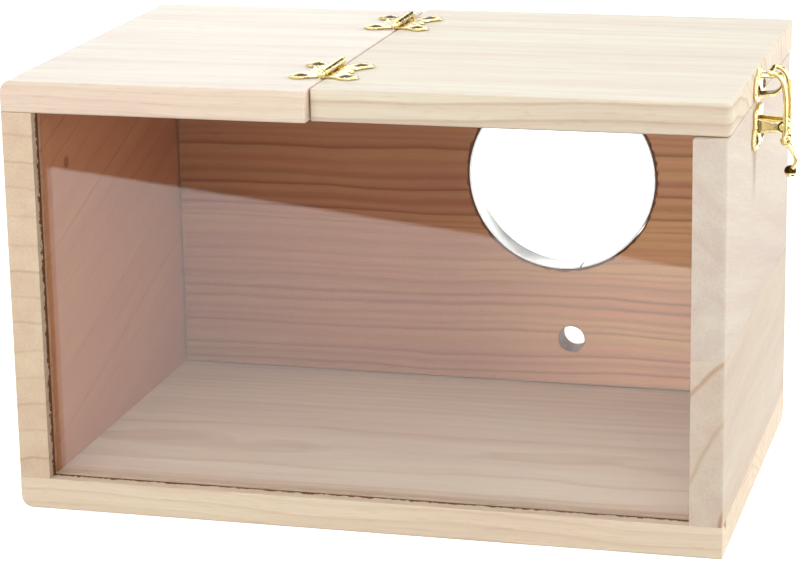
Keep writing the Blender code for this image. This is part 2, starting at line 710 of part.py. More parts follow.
def make_lever(lever_axis):
    """The lever: a strip that hangs from the pin, sweeps outward and ends in a ball."""
    pin = Vector((LEVER_AXIS.x, LEVER_AXIS.z))
    eye = Vector((BAIL_AXIS.x, BAIL_AXIS.z))
    tail = [pin + Vector((u * LEVER_SWEEP, -v * LEVER_DROP)) for u, v in LEVER_PATH_shares]
    path = smooth_curve([pin, eye, *tail])
    lever = plate("latch_lever", strip_outline(path, LEVER_STRIP), LEVER_WIDTH, BRASS,
                  (0, LATCH_Y, 0), FACING_FRONT)
    half = LEVER_WIDTH / 2
    inset = half - LEVER_STRIP * 0.02
    for word, axis, radius in (("barrel", LEVER_AXIS, LEVER_BARREL_DIAMETER / 2),
                               ("eye", BAIL_AXIS, LEVER_EYE_DIAMETER / 2)):
        boss = rod_between("lever " + word, axis - Vector((0, inset, 0)), axis + Vector((0, inset, 0)),
                           radius, steps=ROUND_STEPS)
        join(lever, boss)
    knob = LEVER_KNOB_DIAMETER / 2
    bm = bmesh.new()
    bmesh.ops.create_uvsphere(bm, u_segments=SMALL_STEPS, v_segments=SMALL_STEPS // 2 + 2, radius=knob)
    end = path[-1]
    ball = make_object("lever knob", mesh_from(bm, "lever knob"), None, (end.x, LATCH_Y, end.y))
    join(lever, ball)
    for word, axis, radius in (("pin", LEVER_AXIS, LEVER_PIN_DIAMETER / 2),
                               ("bail", BAIL_AXIS, WIRE_DIAMETER / 2)):
        reach = Vector((0, half + CUT_OVERRUN, 0))
        cut(lever, rod_between("lever %s bore" % word, axis - reach, axis + reach,
                               radius + LATCH_CLEARANCE))
    attach(lever, lever_axis, LEVER_AXIS)


def filleted(points, radius):
    """A path whose sharp corners are arcs of the given radius, as far as there is room."""
    result = [points[0]]
    for before, corner, after in zip(points, points[1:], points[2:]):
        back = (before - corner).normalized()
        ahead = (after - corner).normalized()
        half_angle = back.angle(ahead) / 2
        if half_angle > GENTLE_BEND / 2:
            result.append(corner)
            continue
        run = min(radius / math.tan(half_angle), (before - corner).length / 2, (after - corner).length / 2)
        bend = run * math.tan(half_angle)
        centre = corner + (back + ahead).normalized() * bend / math.sin(half_angle)
        start = corner + back * run - centre
        end = corner + ahead * run - centre
        for step in range(BEND_STEPS + 1):
            result.append(centre + bend * start.slerp(end, step / BEND_STEPS))
    result.append(points[-1])
    return result


def make_bail(bail_axis):
    """The bail: wire whose ends sit in the lever's eye, bowed arms, and a bar over the hook."""
    half = BAIL_WIDTH / 2
    tenon = LEVER_WIDTH / 2 - BAIL_TENON
    bar = Vector((BAIL_AXIS.x - BAIL_LEAN, BAIL_AXIS.y,
                  BOX_HEIGHT - HOOK_SEAT_BELOW_TOP + LATCH_CLEARANCE + WIRE_DIAMETER / 2))
    rise = bar.z - BAIL_AXIS.z
    bow = [BAIL_AXIS + Vector((-u * BAIL_LEAN, 0, v * rise)) for u, v in BAIL_ARM_shares]
    front = Vector((0, -half, 0))
    arm = [point + front for point in smooth_curve([BAIL_AXIS, *bow, bar])]
    path = [BAIL_AXIS + Vector((0, -tenon, 0)), *arm]
    path += [Vector((p.x, 2 * LATCH_Y - p.y, p.z)) for p in reversed(path)]
    curve = bpy.data.curves.new("latch_bail", "CURVE")
    curve.dimensions = "3D"
    curve.bevel_depth = WIRE_DIAMETER / 2
    curve.bevel_resolution = WIRE_RESOLUTION
    curve.use_fill_caps = True
    points = filleted(path, BAIL_BEND_RADIUS)
    spline = curve.splines.new("POLY")
    spline.points.add(len(points) - 1)
    for point, place in zip(spline.points, points):
        point.co = (*(place - BAIL_AXIS), 1)
    bail = bpy.data.objects.new("latch_bail", curve)
    PARTS.objects.link(bail)
    finish(bail, BRASS)
    bail.location = BAIL_AXIS
    attach(bail, bail_axis, BAIL_AXIS)


def main():
    boards = make_boards()
    make_pane(boards)
    make_holes(boards)
    make_brads(boards)
    lid_axis_world = Vector((SEAM, 0, HINGE_AXIS))
    lid_axis = axis_empty("lid_axis", lid_axis_world)
    for label, from_front in (("front", FRONT_HINGE_FROM_FRONT), ("rear", REAR_HINGE_FROM_FRONT)):
        make_hinge(label, from_front, boards, lid_axis, lid_axis_world)
    make_catch(boards["lid_board"], lid_axis, lid_axis_world)
    attach(boards["lid_board"], lid_axis, lid_axis_world)
    make_base(boards["right_side_upper_board"])
    make_lever_pin()
    lever_axis = axis_empty("lever_axis", LEVER_AXIS)
    make_lever(lever_axis)
    bail_axis = axis_empty("bail_axis", BAIL_AXIS, lever_axis, LEVER_AXIS)
    make_bail(bail_axis)


main()
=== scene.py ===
"""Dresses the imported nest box: planed boards, a clear pane, stamped and rolled brass, a white studio."""
import json
import math

import bmesh
import bpy
import numpy as np
from mathutils import Matrix, Vector

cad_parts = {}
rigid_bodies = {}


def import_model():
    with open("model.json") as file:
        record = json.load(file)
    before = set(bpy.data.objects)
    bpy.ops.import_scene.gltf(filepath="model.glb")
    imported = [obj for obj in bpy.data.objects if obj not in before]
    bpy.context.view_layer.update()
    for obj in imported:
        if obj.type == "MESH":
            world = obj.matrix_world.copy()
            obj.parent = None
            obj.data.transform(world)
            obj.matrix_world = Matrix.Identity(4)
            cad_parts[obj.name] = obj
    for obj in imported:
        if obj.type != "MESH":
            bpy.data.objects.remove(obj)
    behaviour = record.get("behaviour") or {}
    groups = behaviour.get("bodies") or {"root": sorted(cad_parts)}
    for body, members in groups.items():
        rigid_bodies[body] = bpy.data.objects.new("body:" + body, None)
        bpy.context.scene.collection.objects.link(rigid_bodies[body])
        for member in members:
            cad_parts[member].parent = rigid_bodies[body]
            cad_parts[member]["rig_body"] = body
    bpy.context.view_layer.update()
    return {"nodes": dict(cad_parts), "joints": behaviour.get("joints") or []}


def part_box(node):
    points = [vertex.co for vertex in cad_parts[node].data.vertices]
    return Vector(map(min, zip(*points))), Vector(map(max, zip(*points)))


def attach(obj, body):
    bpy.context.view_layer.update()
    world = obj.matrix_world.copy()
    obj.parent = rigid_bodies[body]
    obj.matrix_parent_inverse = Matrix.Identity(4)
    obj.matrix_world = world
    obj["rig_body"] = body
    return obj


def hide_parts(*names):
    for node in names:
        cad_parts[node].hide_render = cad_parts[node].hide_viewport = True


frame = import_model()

bl_info = {
    "name": "Nest Box Dressing",
    "version": (1, 0, 0),
    "blender": (4, 5, 0),
    "location": "3D View > Sidebar > Nest Box",
    "description": "Builds boards, window, brass and studio in the place of a packed nest box's solids",
    "category": "Object",
}

MM = 0.001
WELD = 0.001 * MM  # points nearer than this are one point
NO_RADIUS = 0.004 * MM  # a corner keeps at least this much roundness
FLOOR_LOW, FLOOR_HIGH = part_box("floor_board")
TOP_LOW, TOP_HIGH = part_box("fixed_top_board")
LID_LOW, LID_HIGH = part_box("lid_board")
LEFT_LOW, LEFT_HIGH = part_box("left_side_panel")
LOWER_LOW, LOWER_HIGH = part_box("right_side_lower_board")
UPPER_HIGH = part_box("right_side_upper_board")[1]
BACK_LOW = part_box("back_panel")[0]
PANE_LOW, PANE_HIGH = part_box("window_pane")
LINER_LOW, LINER_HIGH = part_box("entrance_liner")
CATCH_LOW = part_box("latch_catch_plate")[0]
BASE_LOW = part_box("latch_base_plate")[0]
JOINTS = {joint["name"]: Vector(joint["pos_m"]) for joint in frame["joints"]}

# Shapes of the brass, as shares of the half width or the reach and of the height of each piece
LEAF_SHARES = (
    (0.0, 0.78), (0.22, 0.84), (0.46, 0.97), (0.72, 0.99), (0.93, 0.88), (1.0, 0.72),
    (0.86, 0.58), (0.68, 0.44), (0.54, 0.27), (0.50, 0.12), (0.60, 0.0),
)
CATCH_SHARES = (
    (0.0, 0.0), (0.40, 0.05), (0.66, 0.0), (0.94, 0.12), (1.0, 0.40), (0.84, 0.72),
    (0.62, 0.84), (0.40, 0.78), (0.22, 0.93), (0.0, 1.0),
)
BASE_SHARES = (
    (0.0, 0.0), (0.24, 0.07), (0.46, 0.03), (0.80, 0.06), (1.0, 0.24), (0.90, 0.46),
    (0.68, 0.60), (0.72, 0.78), (0.58, 0.95), (0.30, 0.92), (0.0, 1.0),
)
HOOK_SHARES = (
    (0.30, 0.02), (0.66, 0.10), (0.93, 0.36), (1.0, 0.66), (0.90, 0.95), (0.72, 1.06), (0.50, 1.0),
)
LEVER_SHARES = ((0.54, 0.50), (0.92, 0.69), (0.96, 0.80), (0.76, 0.90), (0.52, 1.0))
BAIL_SHARES = ((-0.07, 0.26), (-0.06, 0.58), (0.06, 0.83), (0.36, 0.95), (0.70, 0.995))

# The photograph's camera: its place, its turns to the right, up and about its own axis, and its lens
CAMERA_PLACE = (0.20036, -0.75862, 0.26768)
CAMERA_RIGHT, CAMERA_UP, CAMERA_ROLL = 15.12, 15.18, -1.02
CAMERA_LENS = 125.51

# Lamps: name, place, the point they are aimed at, width and height, power and colour
LAMPS = (
    ("key_softbox", (-0.5, -1.15, 0.85), (0, 0, 0.06), (1.0, 1.0), 13.6, "#FFFDFB"),
    ("fill_softbox", (0.75, -1.2, 0.45), (0, 0, 0.06), (0.8, 0.8), 4.6, "#FFFFFF"),
    ("top_softbox", (0.1, 0.3, 1.4), (0, 0, 0.1), (1.2, 1.2), 0.9, "#FFFFFF"),
    ("back_softbox", (-0.7, 1.2, 0.6), (0, 0, 0.06), (1.0, 1.0), 11.0, "#FFFDFB"),
    ("right_softbox", (1.3, 0.25, 0.6), (0.1, 0, 0.06), (0.7, 0.9), 14.0, "#FFFFFF"),
)

# Black cards, seen only in the brass: upright ones by name and two corners in XY, low ones by X
CARDS = (
    ("right_card", (0.75, -0.42), (0.62, -0.62)), ("far_right_card", (0.85, 0.10), (0.88, -0.14)),
    ("back_card", (0.30, 0.95), (0.05, 1.0)), ("left_card", (-0.75, 0.35), (-0.6, 0.6)),
)
CARD_FOOT, CARD_TOP = 0.02, 0.9
LOW_CARDS = ((0.13, 0.18), (0.24, 0.31), (0.42, 0.55))
LOW_CARD_FRONT, LOW_CARD_BACK, LOW_CARD_Z = -0.055, 0.4, 0.002


def length(name, value, note):
    """A length property in metres."""
    return bpy.props.FloatProperty(name=name, description=note, default=value, min=0.0,
                                   subtype="DISTANCE", unit="LENGTH", precision=5)


def tint(name, code, note):
    """A colour property whose default is an sRGB hex value."""
    return bpy.props.FloatVectorProperty(name=name, description=note, default=linear(code)[:3],
                                         size=3, min=0.0, max=1.0, subtype="COLOR")


def linear(code):
    """An sRGB hex value as linear RGBA."""
    parts = np.array([int(code[i:i + 2], 16) for i in (1, 3, 5)]) / 255
    low = parts / 12.92
    high = ((parts + 0.055) / 1.055) ** 2.4
    return (*np.where(parts <= 0.04045, low, high).tolist(), 1.0)


class NestBoxSizes(bpy.types.PropertyGroup):
    """Sizes of the finish that a user would change."""
    top_corner: length("Top corner", 3.5 * MM, "Radius of the fixed top's left edge")
    lid_corner: length("Lid corner", 1.8 * MM, "Radius of the lid's two outer corners")
    floor_corner: length("Floor corner", 3.0 * MM, "Radius under the floor's left end")
    floor_back: length("Floor back edge", 4.0 * MM, "Radius under the floor's back edge")
    soft_edge: length("Sanded edge", 0.6 * MM, "Radius of the edges that were sanded")
    crisp_edge: length("Glued edge", 0.08 * MM, "Radius of the edges that meet in a glue line")
    fibre: length("Fibre", 0.7 * MM, "Width of one streak of fibres")
    bead: length("Stamped bead", 0.14 * MM, "Height of the bead round a brass plate")
    dish: length("Screw dish", 0.25 * MM, "Depth of the dish round a screw")
    recess: length("Cross recess", 0.5 * MM, "Depth of the cross recess in a screw")


class NestBoxColours(bpy.types.PropertyGroup):
    """Colours that a user would change."""
    outside: tint("Outside wood", "#E9D5BE", "Pale outer wood, which the inner faces are measured by")
    # painted shade: the inner faces are tinted more red and darker, partly warmer wood, partly shade
    inside: tint("Inside wood", "#D4966F", "Redder wood on the inner faces")
    # painted shade along the edge gaps at the pane's groove and round the bores, brown as if scorched by
    # the saw
    edge_shade: tint("Saw burn", "#7A431B", "Edges that the groove saw scorched")
    brass: tint("Brass", "#F3E0A4", "Bright brass plating")
    # brown that stands for patina and for painted shade in the recesses and on the inner sides of the brass
    tarnish: tint("Tarnish", "#3A2A0A", "Brown in the recesses of the brass")
    liner: tint("Liner", "#F3F3F0", "Aluminium strip in the entrance")
    steel: tint("Brads", "#8D8E90", "Plain steel brads")
    studio: tint("Studio", "#FFFFFF", "Floor and background")


# Meshes from whole arrays

def unit(vectors):
    """The vectors of an array, each made one long."""
    return vectors / np.linalg.norm(vectors, axis=-1, keepdims=True)


def travelled(path):
    """How far each point of a path lies from its start, along the path."""
    return np.concatenate([[0], np.cumsum(np.linalg.norm(np.diff(path, axis=0), axis=1))])


def stood(points, centre, axis):
    """Points turned from +Z to the axis and moved from the origin to the centre."""
    turn = np.array(Vector((0, 0, 1)).rotation_difference(Vector(axis)).to_matrix())
    return points @ turn.T + np.asarray(centre, float)


def smooth(points, steps=8):
    """Catmull-Rom curve through the points: each span is a cubic in t whose end slopes are half the
    chord between the neighbouring points. The end points are counted twice."""
    p = np.asarray(points, float)
    p = np.concatenate([p[:1], p, p[-1:]])
    a, b, c, d = (p[i:len(p) - 3 + i][:, None, :] for i in range(4))
    t = (np.arange(steps) / steps)[None, :, None]
    spans = (2 * b + (c - a) * t + (2 * a - 5 * b + 4 * c - d) * t ** 2
             + (3 * b - a - 3 * c + d) * t ** 3) / 2
    return np.concatenate([spans.reshape(-1, p.shape[1]), p[-1:]])


def rounded(corners, steps=6, insets=(0.0,)):
    """Closed outlines of square corners, one for each inset, for a loop that runs anticlockwise.

    A corner at c with unit directions p to the one before and n to the one after moves in by the
    inset d to c + d(p + n), and becomes c + r(p + n) - r(n cos t + p sin t), for t from 0 to a right
    angle, where r is what the inset leaves of its radius. At a hollow corner both change sign."""
    data = np.asarray(corners, float)
    c, r = data[:, :2], data[:, 2]
    before = unit(np.roll(c, 1, 0) - c)
    after = unit(np.roll(c, -1, 0) - c)
    turn = np.sign(after[:, 0] * before[:, 1] - after[:, 1] * before[:, 0])
    t = np.linspace(0, math.pi / 2, steps)[None, None, :, None]
    p, n = before[None, :, None, :], after[None, :, None, :]
    d = (np.asarray(insets)[:, None] * turn)[:, :, None, None]
    rest = np.maximum(r[None, :, None, None] - d, NO_RADIUS)
    points = c[None, :, None, :] + (d + rest) * (p + n) - rest * (n * np.cos(t) + p * np.sin(t))
    return points.reshape(len(points), -1, 2)


def loft(rows, looped=False, mark=None):
    """A shell from a grid of points: rows (n, m, 3), each row a closed ring, joined row to row.
    The first and last rows are closed by a face each, or joined to each other when looped."""
    n, m = rows.shape[:2]
    index = np.arange(n * m).reshape(n, m)
    lower = index if looped else index[:-1]
    upper = np.roll(index, -1, 0) if looped else index[1:]
    quads = np.stack([lower, np.roll(lower, -1, 1), np.roll(upper, -1, 1), upper], -1).reshape(-1, 4)
    faces = quads.tolist()
    if not looped:
        faces += [index[0][::-1].tolist(), index[-1].tolist()]
    tone = np.zeros(n * m) if mark is None else np.asarray(mark, float).reshape(-1)
    return rows.reshape(-1, 3), faces, tone


def piece(name, shells, look, body, replaced, sharp=35):
    """One object from closed shells, with its doubles merged and its faces turned outwards. A shell
    is its points, its faces and how dark each point is; sharp is the angle past which an edge shows."""
    offsets = np.cumsum([0] + [len(s[0]) for s in shells])
    verts = np.concatenate([s[0] for s in shells])
    faces = [[int(i + start) for i in face] for s, start in zip(shells, offsets) for face in s[1]]
    mesh = bpy.data.meshes.new(name)
    mesh.from_pydata(verts.tolist(), [], faces)
    # each point's patina and painted shade, which the brass material reads
    layer = mesh.attributes.new("tarnish", "FLOAT", "POINT")
    layer.data.foreach_set("value", np.concatenate([s[2] for s in shells]).astype(np.float32))
    bm = bmesh.new()
    bm.from_mesh(mesh)
    bmesh.ops.remove_doubles(bm, verts=bm.verts, dist=WELD)
    bmesh.ops.dissolve_degenerate(bm, edges=bm.edges, dist=WELD / 10)
    bmesh.ops.recalc_face_normals(bm, faces=bm.faces)
    bm.to_mesh(mesh)
    bm.free()
    settle(name, mesh, look, body, replaced, sharp)


def linked(name, data):
    """A new object, linked to the scene."""
    obj = bpy.data.objects.new(name, data)
    bpy.context.scene.collection.objects.link(obj)
    return obj


def settle(name, mesh, look, body, replaced, sharp):
    """Smooth the mesh up to an angle, give it its material and put it on its body."""
    mesh.shade_smooth()
    mesh.set_sharp_from_angle(angle=math.radians(sharp))
    mesh.materials.clear()
    mesh.materials.append(look)
    obj = linked(name, mesh)
    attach(obj, body)
    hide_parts(*replaced)


def plank(corners, ends, edge, place):
    """A board: a rounded outline carried straight between two ends, where it draws in on a quarter
    circle of the edge radius. place turns outline (a, b) and distance c into x, y and z."""
    t = np.linspace(0, math.pi / 2, 5)
    near = ends[0] + edge * (1 - np.cos(t))
    far = ends[1] - edge * (1 - np.cos(t[::-1]))
    along = np.concatenate([near, far])
    flat = rounded(corners, 6, edge * (1 - np.sin(np.concatenate([t, t[::-1]]))))
    c = np.broadcast_to(along[:, None], flat.shape[:2])
    return loft(place(flat[..., 0], flat[..., 1], c))


def ribbon(path, width, thickness, middle, power=5.0, steps=24, shade=0.0):
    """A strip bent along a path in the XZ plane: the section |y/w|^n + |s/t|^n = 1 stands square to
    the path, where w and t are half the width and half the thickness, which may vary along it, and n
    is the power. shade darkens the side on the left of the path with brown patina and painted shade."""
    path = np.asarray(path, float)
    along = unit(np.gradient(path, axis=0))
    across = np.stack([-along[:, 1], along[:, 0]], -1)
    angle = np.linspace(0, 2 * math.pi, steps, endpoint=False)
    u = np.sign(np.cos(angle)) * np.abs(np.cos(angle)) ** (2 / power)
    v = np.sign(np.sin(angle)) * np.abs(np.sin(angle)) ** (2 / power)
    w = np.broadcast_to(np.asarray(width, float) / 2, len(path))[:, None]
    t = np.broadcast_to(np.asarray(thickness, float) / 2, len(path))[:, None]
    x = path[:, :1] + across[:, :1] * t * v
    z = path[:, 1:] + across[:, 1:] * t * v
    mark = shade * np.clip(v * 2, 0, 1) * np.ones_like(x)
    return loft(np.stack([x, middle + w * u, z], -1), mark=mark)


def tube(path, radius, steps=20):
    """A round wire: a circle that stands square to a path whose side direction turns with it."""
    path = np.asarray(path, float)
    along = unit(np.gradient(path, axis=0))
    side = unit(np.cross(along, (1.0, 0.15, 0.4)))
    other = np.cross(along, side)
    angle = np.linspace(0, 2 * math.pi, steps, endpoint=False)[None, :, None]
    circle = side[:, None, :] * np.cos(angle) + other[:, None, :] * np.sin(angle)
    return loft(path[:, None, :] + radius * circle)


def turned(profile, centre, axis, steps=40, sink=None):
    """A turned piece: (radius, height) points swept round an axis. sink(x, y) may press the face on
    the axis' side down along it; it gives the depth and how dark the bottom is."""
    profile = np.asarray(profile, float)
    angle = np.linspace(0, 2 * math.pi, steps, endpoint=False)[None, :]
    x = profile[:, :1] * np.cos(angle)
    y = profile[:, :1] * np.sin(angle)
    z = np.broadcast_to(profile[:, 1:], x.shape).copy()
    mark = np.zeros(x.shape)
    if sink is not None:
        depth, mark = sink(x, y)
        front = profile[:, 1:] >= 0
        z -= depth * front
        mark = mark * front
    return loft(stood(np.stack([x, y, z], -1), centre, axis), mark=mark)


def ring(inner, outer, low, high, centre, axis, edge, start=0.0, sweep=2 * math.pi, steps=48):
    """A collar: a rounded wall section swept round an axis, by less than a turn where it is split."""
    section = rounded([(inner, low, edge), (outer, low, edge),
                       (outer, high, edge), (inner, high, edge)], 4)[0]
    whole = sweep >= 2 * math.pi
    angle = start + np.linspace(0, sweep, steps, endpoint=not whole)[:, None]
    x, y = section[:, 0] * np.cos(angle), section[:, 0] * np.sin(angle)
    z = np.broadcast_to(section[:, 1], x.shape)
    return loft(stood(np.stack([x, y, z], -1), centre, axis), looped=whole)


def pressed(h, face, gap, a, b, spots, bead, dish, in_mm):
    """Heights with a bead and dishes pressed into the face, and how dark they are. The bead follows
    the rim, which is a gap away, and each spot for a screw at (a, b) has a dish. Brown patina and
    painted shade lie along the bead's inner foot and in a ring about each spot. in_mm holds the place
    and the width of the bead, of the brown at its foot and of the ring, the dish's reach, and how dark
    the foot is."""
    (bead_at, bead_wide), (foot_at, foot_wide), (ring_at, ring_wide), reach, foot_dark = in_mm
    bell = lambda distance, at, wide: np.exp(-((distance - at * MM) / (wide * MM)) ** 2)
    h = h + face * bead * bell(gap, bead_at, bead_wide)
    dark = face * foot_dark * bell(gap, foot_at, foot_wide)
    for spot in spots:
        away = np.hypot(a - spot[0], b - spot[1])
        h = h - face * dish * np.exp(-(away / (reach * MM)) ** 4)
        dark = np.maximum(dark, face * bell(away, ring_at, ring_wide))
    return h, dark


def stamped(outline, centre, low, high, place, spots, bead, dish, ring_at=1.75, steps=120):
    """A stamped plate: rays from the centre reach an evenly spaced outline, and the section goes out
    over a rounded rim and back under it. ring_at is the radius in mm of the brown about a spot."""
    top_rings, under_rings, flat_share = 22, 4, 0.97
    loop = np.asarray(outline, float) - centre
    loop = np.concatenate([loop, loop[:1]])
    run = travelled(loop)
    even = np.linspace(0, run[-1], 800, endpoint=False)
    loop = np.stack([np.interp(even, run, loop[:, i]) for i in range(2)], -1)
    bearing = np.unwrap(np.arctan2(loop[:, 1], loop[:, 0]))
    reach = np.linalg.norm(loop, axis=1)
    order = np.argsort(bearing)
    angle = np.linspace(0, 2 * math.pi, steps, endpoint=False)
    far = np.interp(angle, bearing[order] % (2 * math.pi), reach[order], period=2 * math.pi)
    rim = np.linspace(0, math.pi, 9)
    share = np.concatenate([np.linspace(0.02, flat_share, top_rings),
                            flat_share + (1 - flat_share) * np.sin(rim),
                            np.linspace(flat_share, 0.02, under_rings)])
    half = (high - low) / 2
    height = np.concatenate([np.full(top_rings, half), half * np.cos(rim), np.full(under_rings, -half)])
    a = centre[0] + share[:, None] * far * np.cos(angle)
    b = centre[1] + share[:, None] * far * np.sin(angle)
    h = np.broadcast_to(height[:, None], a.shape)
    in_mm = ((0.75, 0.28), (1.15, 0.2), (ring_at, 0.3), 1.9, 0.5)
    # patina and painted shade at the bead's foot and round each screw
    h, dark = pressed(h, h > half * 0.99, (1 - share)[:, None] * far, a, b, spots, bead, dish, in_mm)
    return loft(place(a, b, (high + low) / 2 + h - bead), mark=dark)


# Materials

def add(tree, kind, settings=None, links=None):
    """Add a shader node, set its properties, inputs and colour stops, and link its inputs. kind may
    name an operation after a space. A link comes from a socket, or from a node, which stands for the
    first of its outputs in use."""
    kind, _, operation = kind.partition(" ")
    node = tree.nodes.new("ShaderNode" + kind)
    if operation:
        node.operation = operation
    for key, value in (settings or {}).items():
        if key == "stops":
            ramp = node.color_ramp.elements
            while len(ramp) < len(value):
                ramp.new(0.5)
            for stop, (at, colour) in zip(ramp, value):
                stop.position = at
                stop.color = colour if isinstance(colour, tuple) else (colour, colour, colour, 1.0)
        elif isinstance(key, str) and hasattr(node, key):
            setattr(node, key, value)
        else:
            node.inputs[key].default_value = value
    for key, source in (links or {}).items():
        if isinstance(source, bpy.types.Node):
            source = next(socket for socket in source.outputs if socket.enabled)
        tree.links.new(source, node.inputs[key])
    return node


def new_look(name):
    """An empty material and its node tree."""
    look = bpy.data.materials.new(name)
    look.use_nodes = True
    look.node_tree.nodes.clear()
    return look, look.node_tree


# How dark a growth ring is, from its inner to its outer side
THICK_RING = [(0.0, 0.12), (0.45, 0.10), (0.74, 0.42), (0.90, 1.0), (0.97, 0.55)]
THIN_RING = [(0.0, 0.16), (0.30, 0.05), (0.86, 0.12), (0.945, 1.0), (0.985, 0.5)]
SOFT_RING = [(0.0, 0.42), (0.28, 0.10), (0.60, 0.28), (0.84, 0.85), (0.94, 1.0), (1.0, 0.42)]
# Tints of the pinker and of the yellower bands of a board
FAINT_LEAN = ((1.02, 0.975, 0.97), (0.985, 1.005, 0.975))
CLEAR_LEAN = ((1.04, 0.94, 0.96), (0.97, 1.03, 0.88))
# Settings of nodes that mix two colours or multiply them, and of a noise that W moves elsewhere
COLOURS = {"data_type": "RGBA"}
TIMES = {"data_type": "RGBA", "blend_type": "MULTIPLY"}
MOVED = {"noise_dimensions": "4D"}


def planed_wood(name, seed, fibre, pith, ring_mm, early, late, contrast, along=1.0, profile=THICK_RING,
                uneven=0.0, lean=FAINT_LEAN, up=None, knot=None, inside=None, fade=None, edge_shades=()):
    """Planed, unfinished soft wood, dull and a little uneven in its gloss. Growth rings are circles
    about the pith, so a long face shows stripes and an end shows arcs; each ring darkens slowly and
    ends sharply. Streaks of fibres run with the grain. fibre is the direction of the grain and pith a
    point on the log's middle line, in mm. along is the share of the contrast that long faces keep,
    and uneven makes some years wider than others. up is a painted highlight: it lightens the face
    that looks up and calms its grain, as if more light fell on it. knot is a point and a radius in mm.
    inside gives the inner face, painted more red and darker, partly as wood of a warmer tone and
    partly as painted shade: its axis, its place in mm, and +1 or -1 for the side on which its wood
    lies. fade makes that painted shade darker at one end and lighter at the other, and the last
    argument gives lines of painted shade along edge gaps, ragged and brown like a saw burn."""
    colours = bpy.context.scene.nest_box_colours
    sizes = bpy.context.scene.nest_box_sizes
    look, tree = new_look(name)
    f = Vector(fibre).normalized()
    e = f.cross(Vector((0.31, 0.17, 0.93))).normalized()
    g = f.cross(e)
    where = add(tree, "TexCoord").outputs
    off = add(tree, "VectorMath SUBTRACT", {1: [v * MM for v in pith]}, {0: where["Object"]})
    dots = [add(tree, "VectorMath DOT_PRODUCT", {1: axis}, {0: off}) for axis in (f, e, g)]
    log = add(tree, "CombineXYZ", None, dict(enumerate(dots)))
    # the grain wanders by 2 mm over about 60 mm of its length and 20 mm across
    slow = add(tree, "VectorMath MULTIPLY", {1: (16, 50, 50)}, {0: log})
    wander = add(tree, "TexNoise", {**MOVED, "W": seed, "Scale": 1.0, "Detail": 2.0}, {"Vector": slow})
    centred = add(tree, "VectorMath SUBTRACT", {1: (0.5, 0.5, 0.5)}, {0: wander.outputs["Color"]})
    bent = add(tree, "VectorMath MULTIPLY_ADD", {1: (0, 5 * MM, 5 * MM)}, {0: centred, 2: log})
    flat = add(tree, "VectorMath MULTIPLY", {1: (0, 1, 1)}, {0: bent})
    radius = add(tree, "VectorMath LENGTH", None, {0: flat})
    phase = add(tree, "Math DIVIDE", {1: ring_mm * MM}, {0: radius})
    if uneven:
        # good and bad years follow each other over about 14 mm of the radius
        years = add(tree, "Math MULTIPLY_ADD", {1: 70.0, 2: seed}, {0: radius})
        weather = add(tree, "TexNoise", {"noise_dimensions": "1D", "Scale": 1.0, "Detail": 3.0},
                      {"W": years})
        phase = add(tree, "Math MULTIPLY_ADD", {1: uneven}, {0: weather, 2: phase})
    part = add(tree, "Math FRACT", None, {0: phase})
    year = add(tree, "Math FLOOR", None, {0: phase})
    year = add(tree, "Math ADD", {1: seed * 10}, {0: year})
    luck = add(tree, "TexWhiteNoise", {"noise_dimensions": "1D"}, {"W": year})
    shape = add(tree, "ValToRGB", {"stops": profile}, {"Fac": part})
    vary = add(tree, "MapRange", {"To Min": 0.25}, {"Value": luck})
    rings = add(tree, "Math MULTIPLY", None, {0: shape, 1: vary})
    facing = add(tree, "VectorMath DOT_PRODUCT", {1: f}, {0: where["Normal"]})
    facing = add(tree, "Math ABSOLUTE", None, {0: facing})
    shown = add(tree, "MapRange", {"To Min": contrast * along, "To Max": contrast}, {"Value": facing})
    normal = add(tree, "SeparateXYZ", None, {0: where["Normal"]}).outputs
    above = add(tree, "MapRange", {"From Min": 0.35, "From Max": 0.95}, {"Value": normal[2]})
    if up is not None:
        # painted highlight: the grain shows less on the face that looks up, as if washed out by the light
        # on it
        calm = add(tree, "MapRange", {"To Min": 1.0, "To Max": 0.25}, {"Value": above})
        shown = add(tree, "Math MULTIPLY", None, {0: shown, 1: calm})
    rings = add(tree, "Math MULTIPLY", None, {0: rings, 1: shown})
    # streaks one fibre wide and 40 times as long, drawn coarser than real fibres so that they show;
    # broad bands; and short dark flecks, which are the open pores
    fine = 1 / sizes.fibre
    streak, broad, fleck = [
        add(tree, "TexNoise", {"Scale": 1.0, **settings},
            {"Vector": add(tree, "VectorMath MULTIPLY", {1: squeeze}, {0: bent})})
        for squeeze, settings in (
            ((fine / 40, fine, fine), {**MOVED, "W": seed + 3, "Detail": 3.0, "Roughness": 0.6}),
            ((9, 150, 150), {**MOVED, "W": seed + 7, "Detail": 3.0}),
            ((220, 1600, 1600), {"Detail": 0.0}))]
    fleck = add(tree, "MapRange", {"From Min": 0.66, "From Max": 0.78, "To Max": 0.25}, {"Value": fleck})
    wood = add(tree, "Mix", {**COLOURS, 6: linear(early), 7: linear(late)}, {0: rings})
    tones = [add(tree, "MapRange",
                 {"From Min": 0.3, "From Max": 0.7, "To Min": dull, "To Max": bright},
                 {"Value": noise})
             for noise, dull, bright in ((streak, 0.94, 1.05), (broad, 0.93, 1.06))]
    both = add(tree, "Math MULTIPLY", None, {0: tones[0], 1: tones[1]})
    grain = add(tree, "VectorMath SCALE", None, {0: wood, "Scale": both})
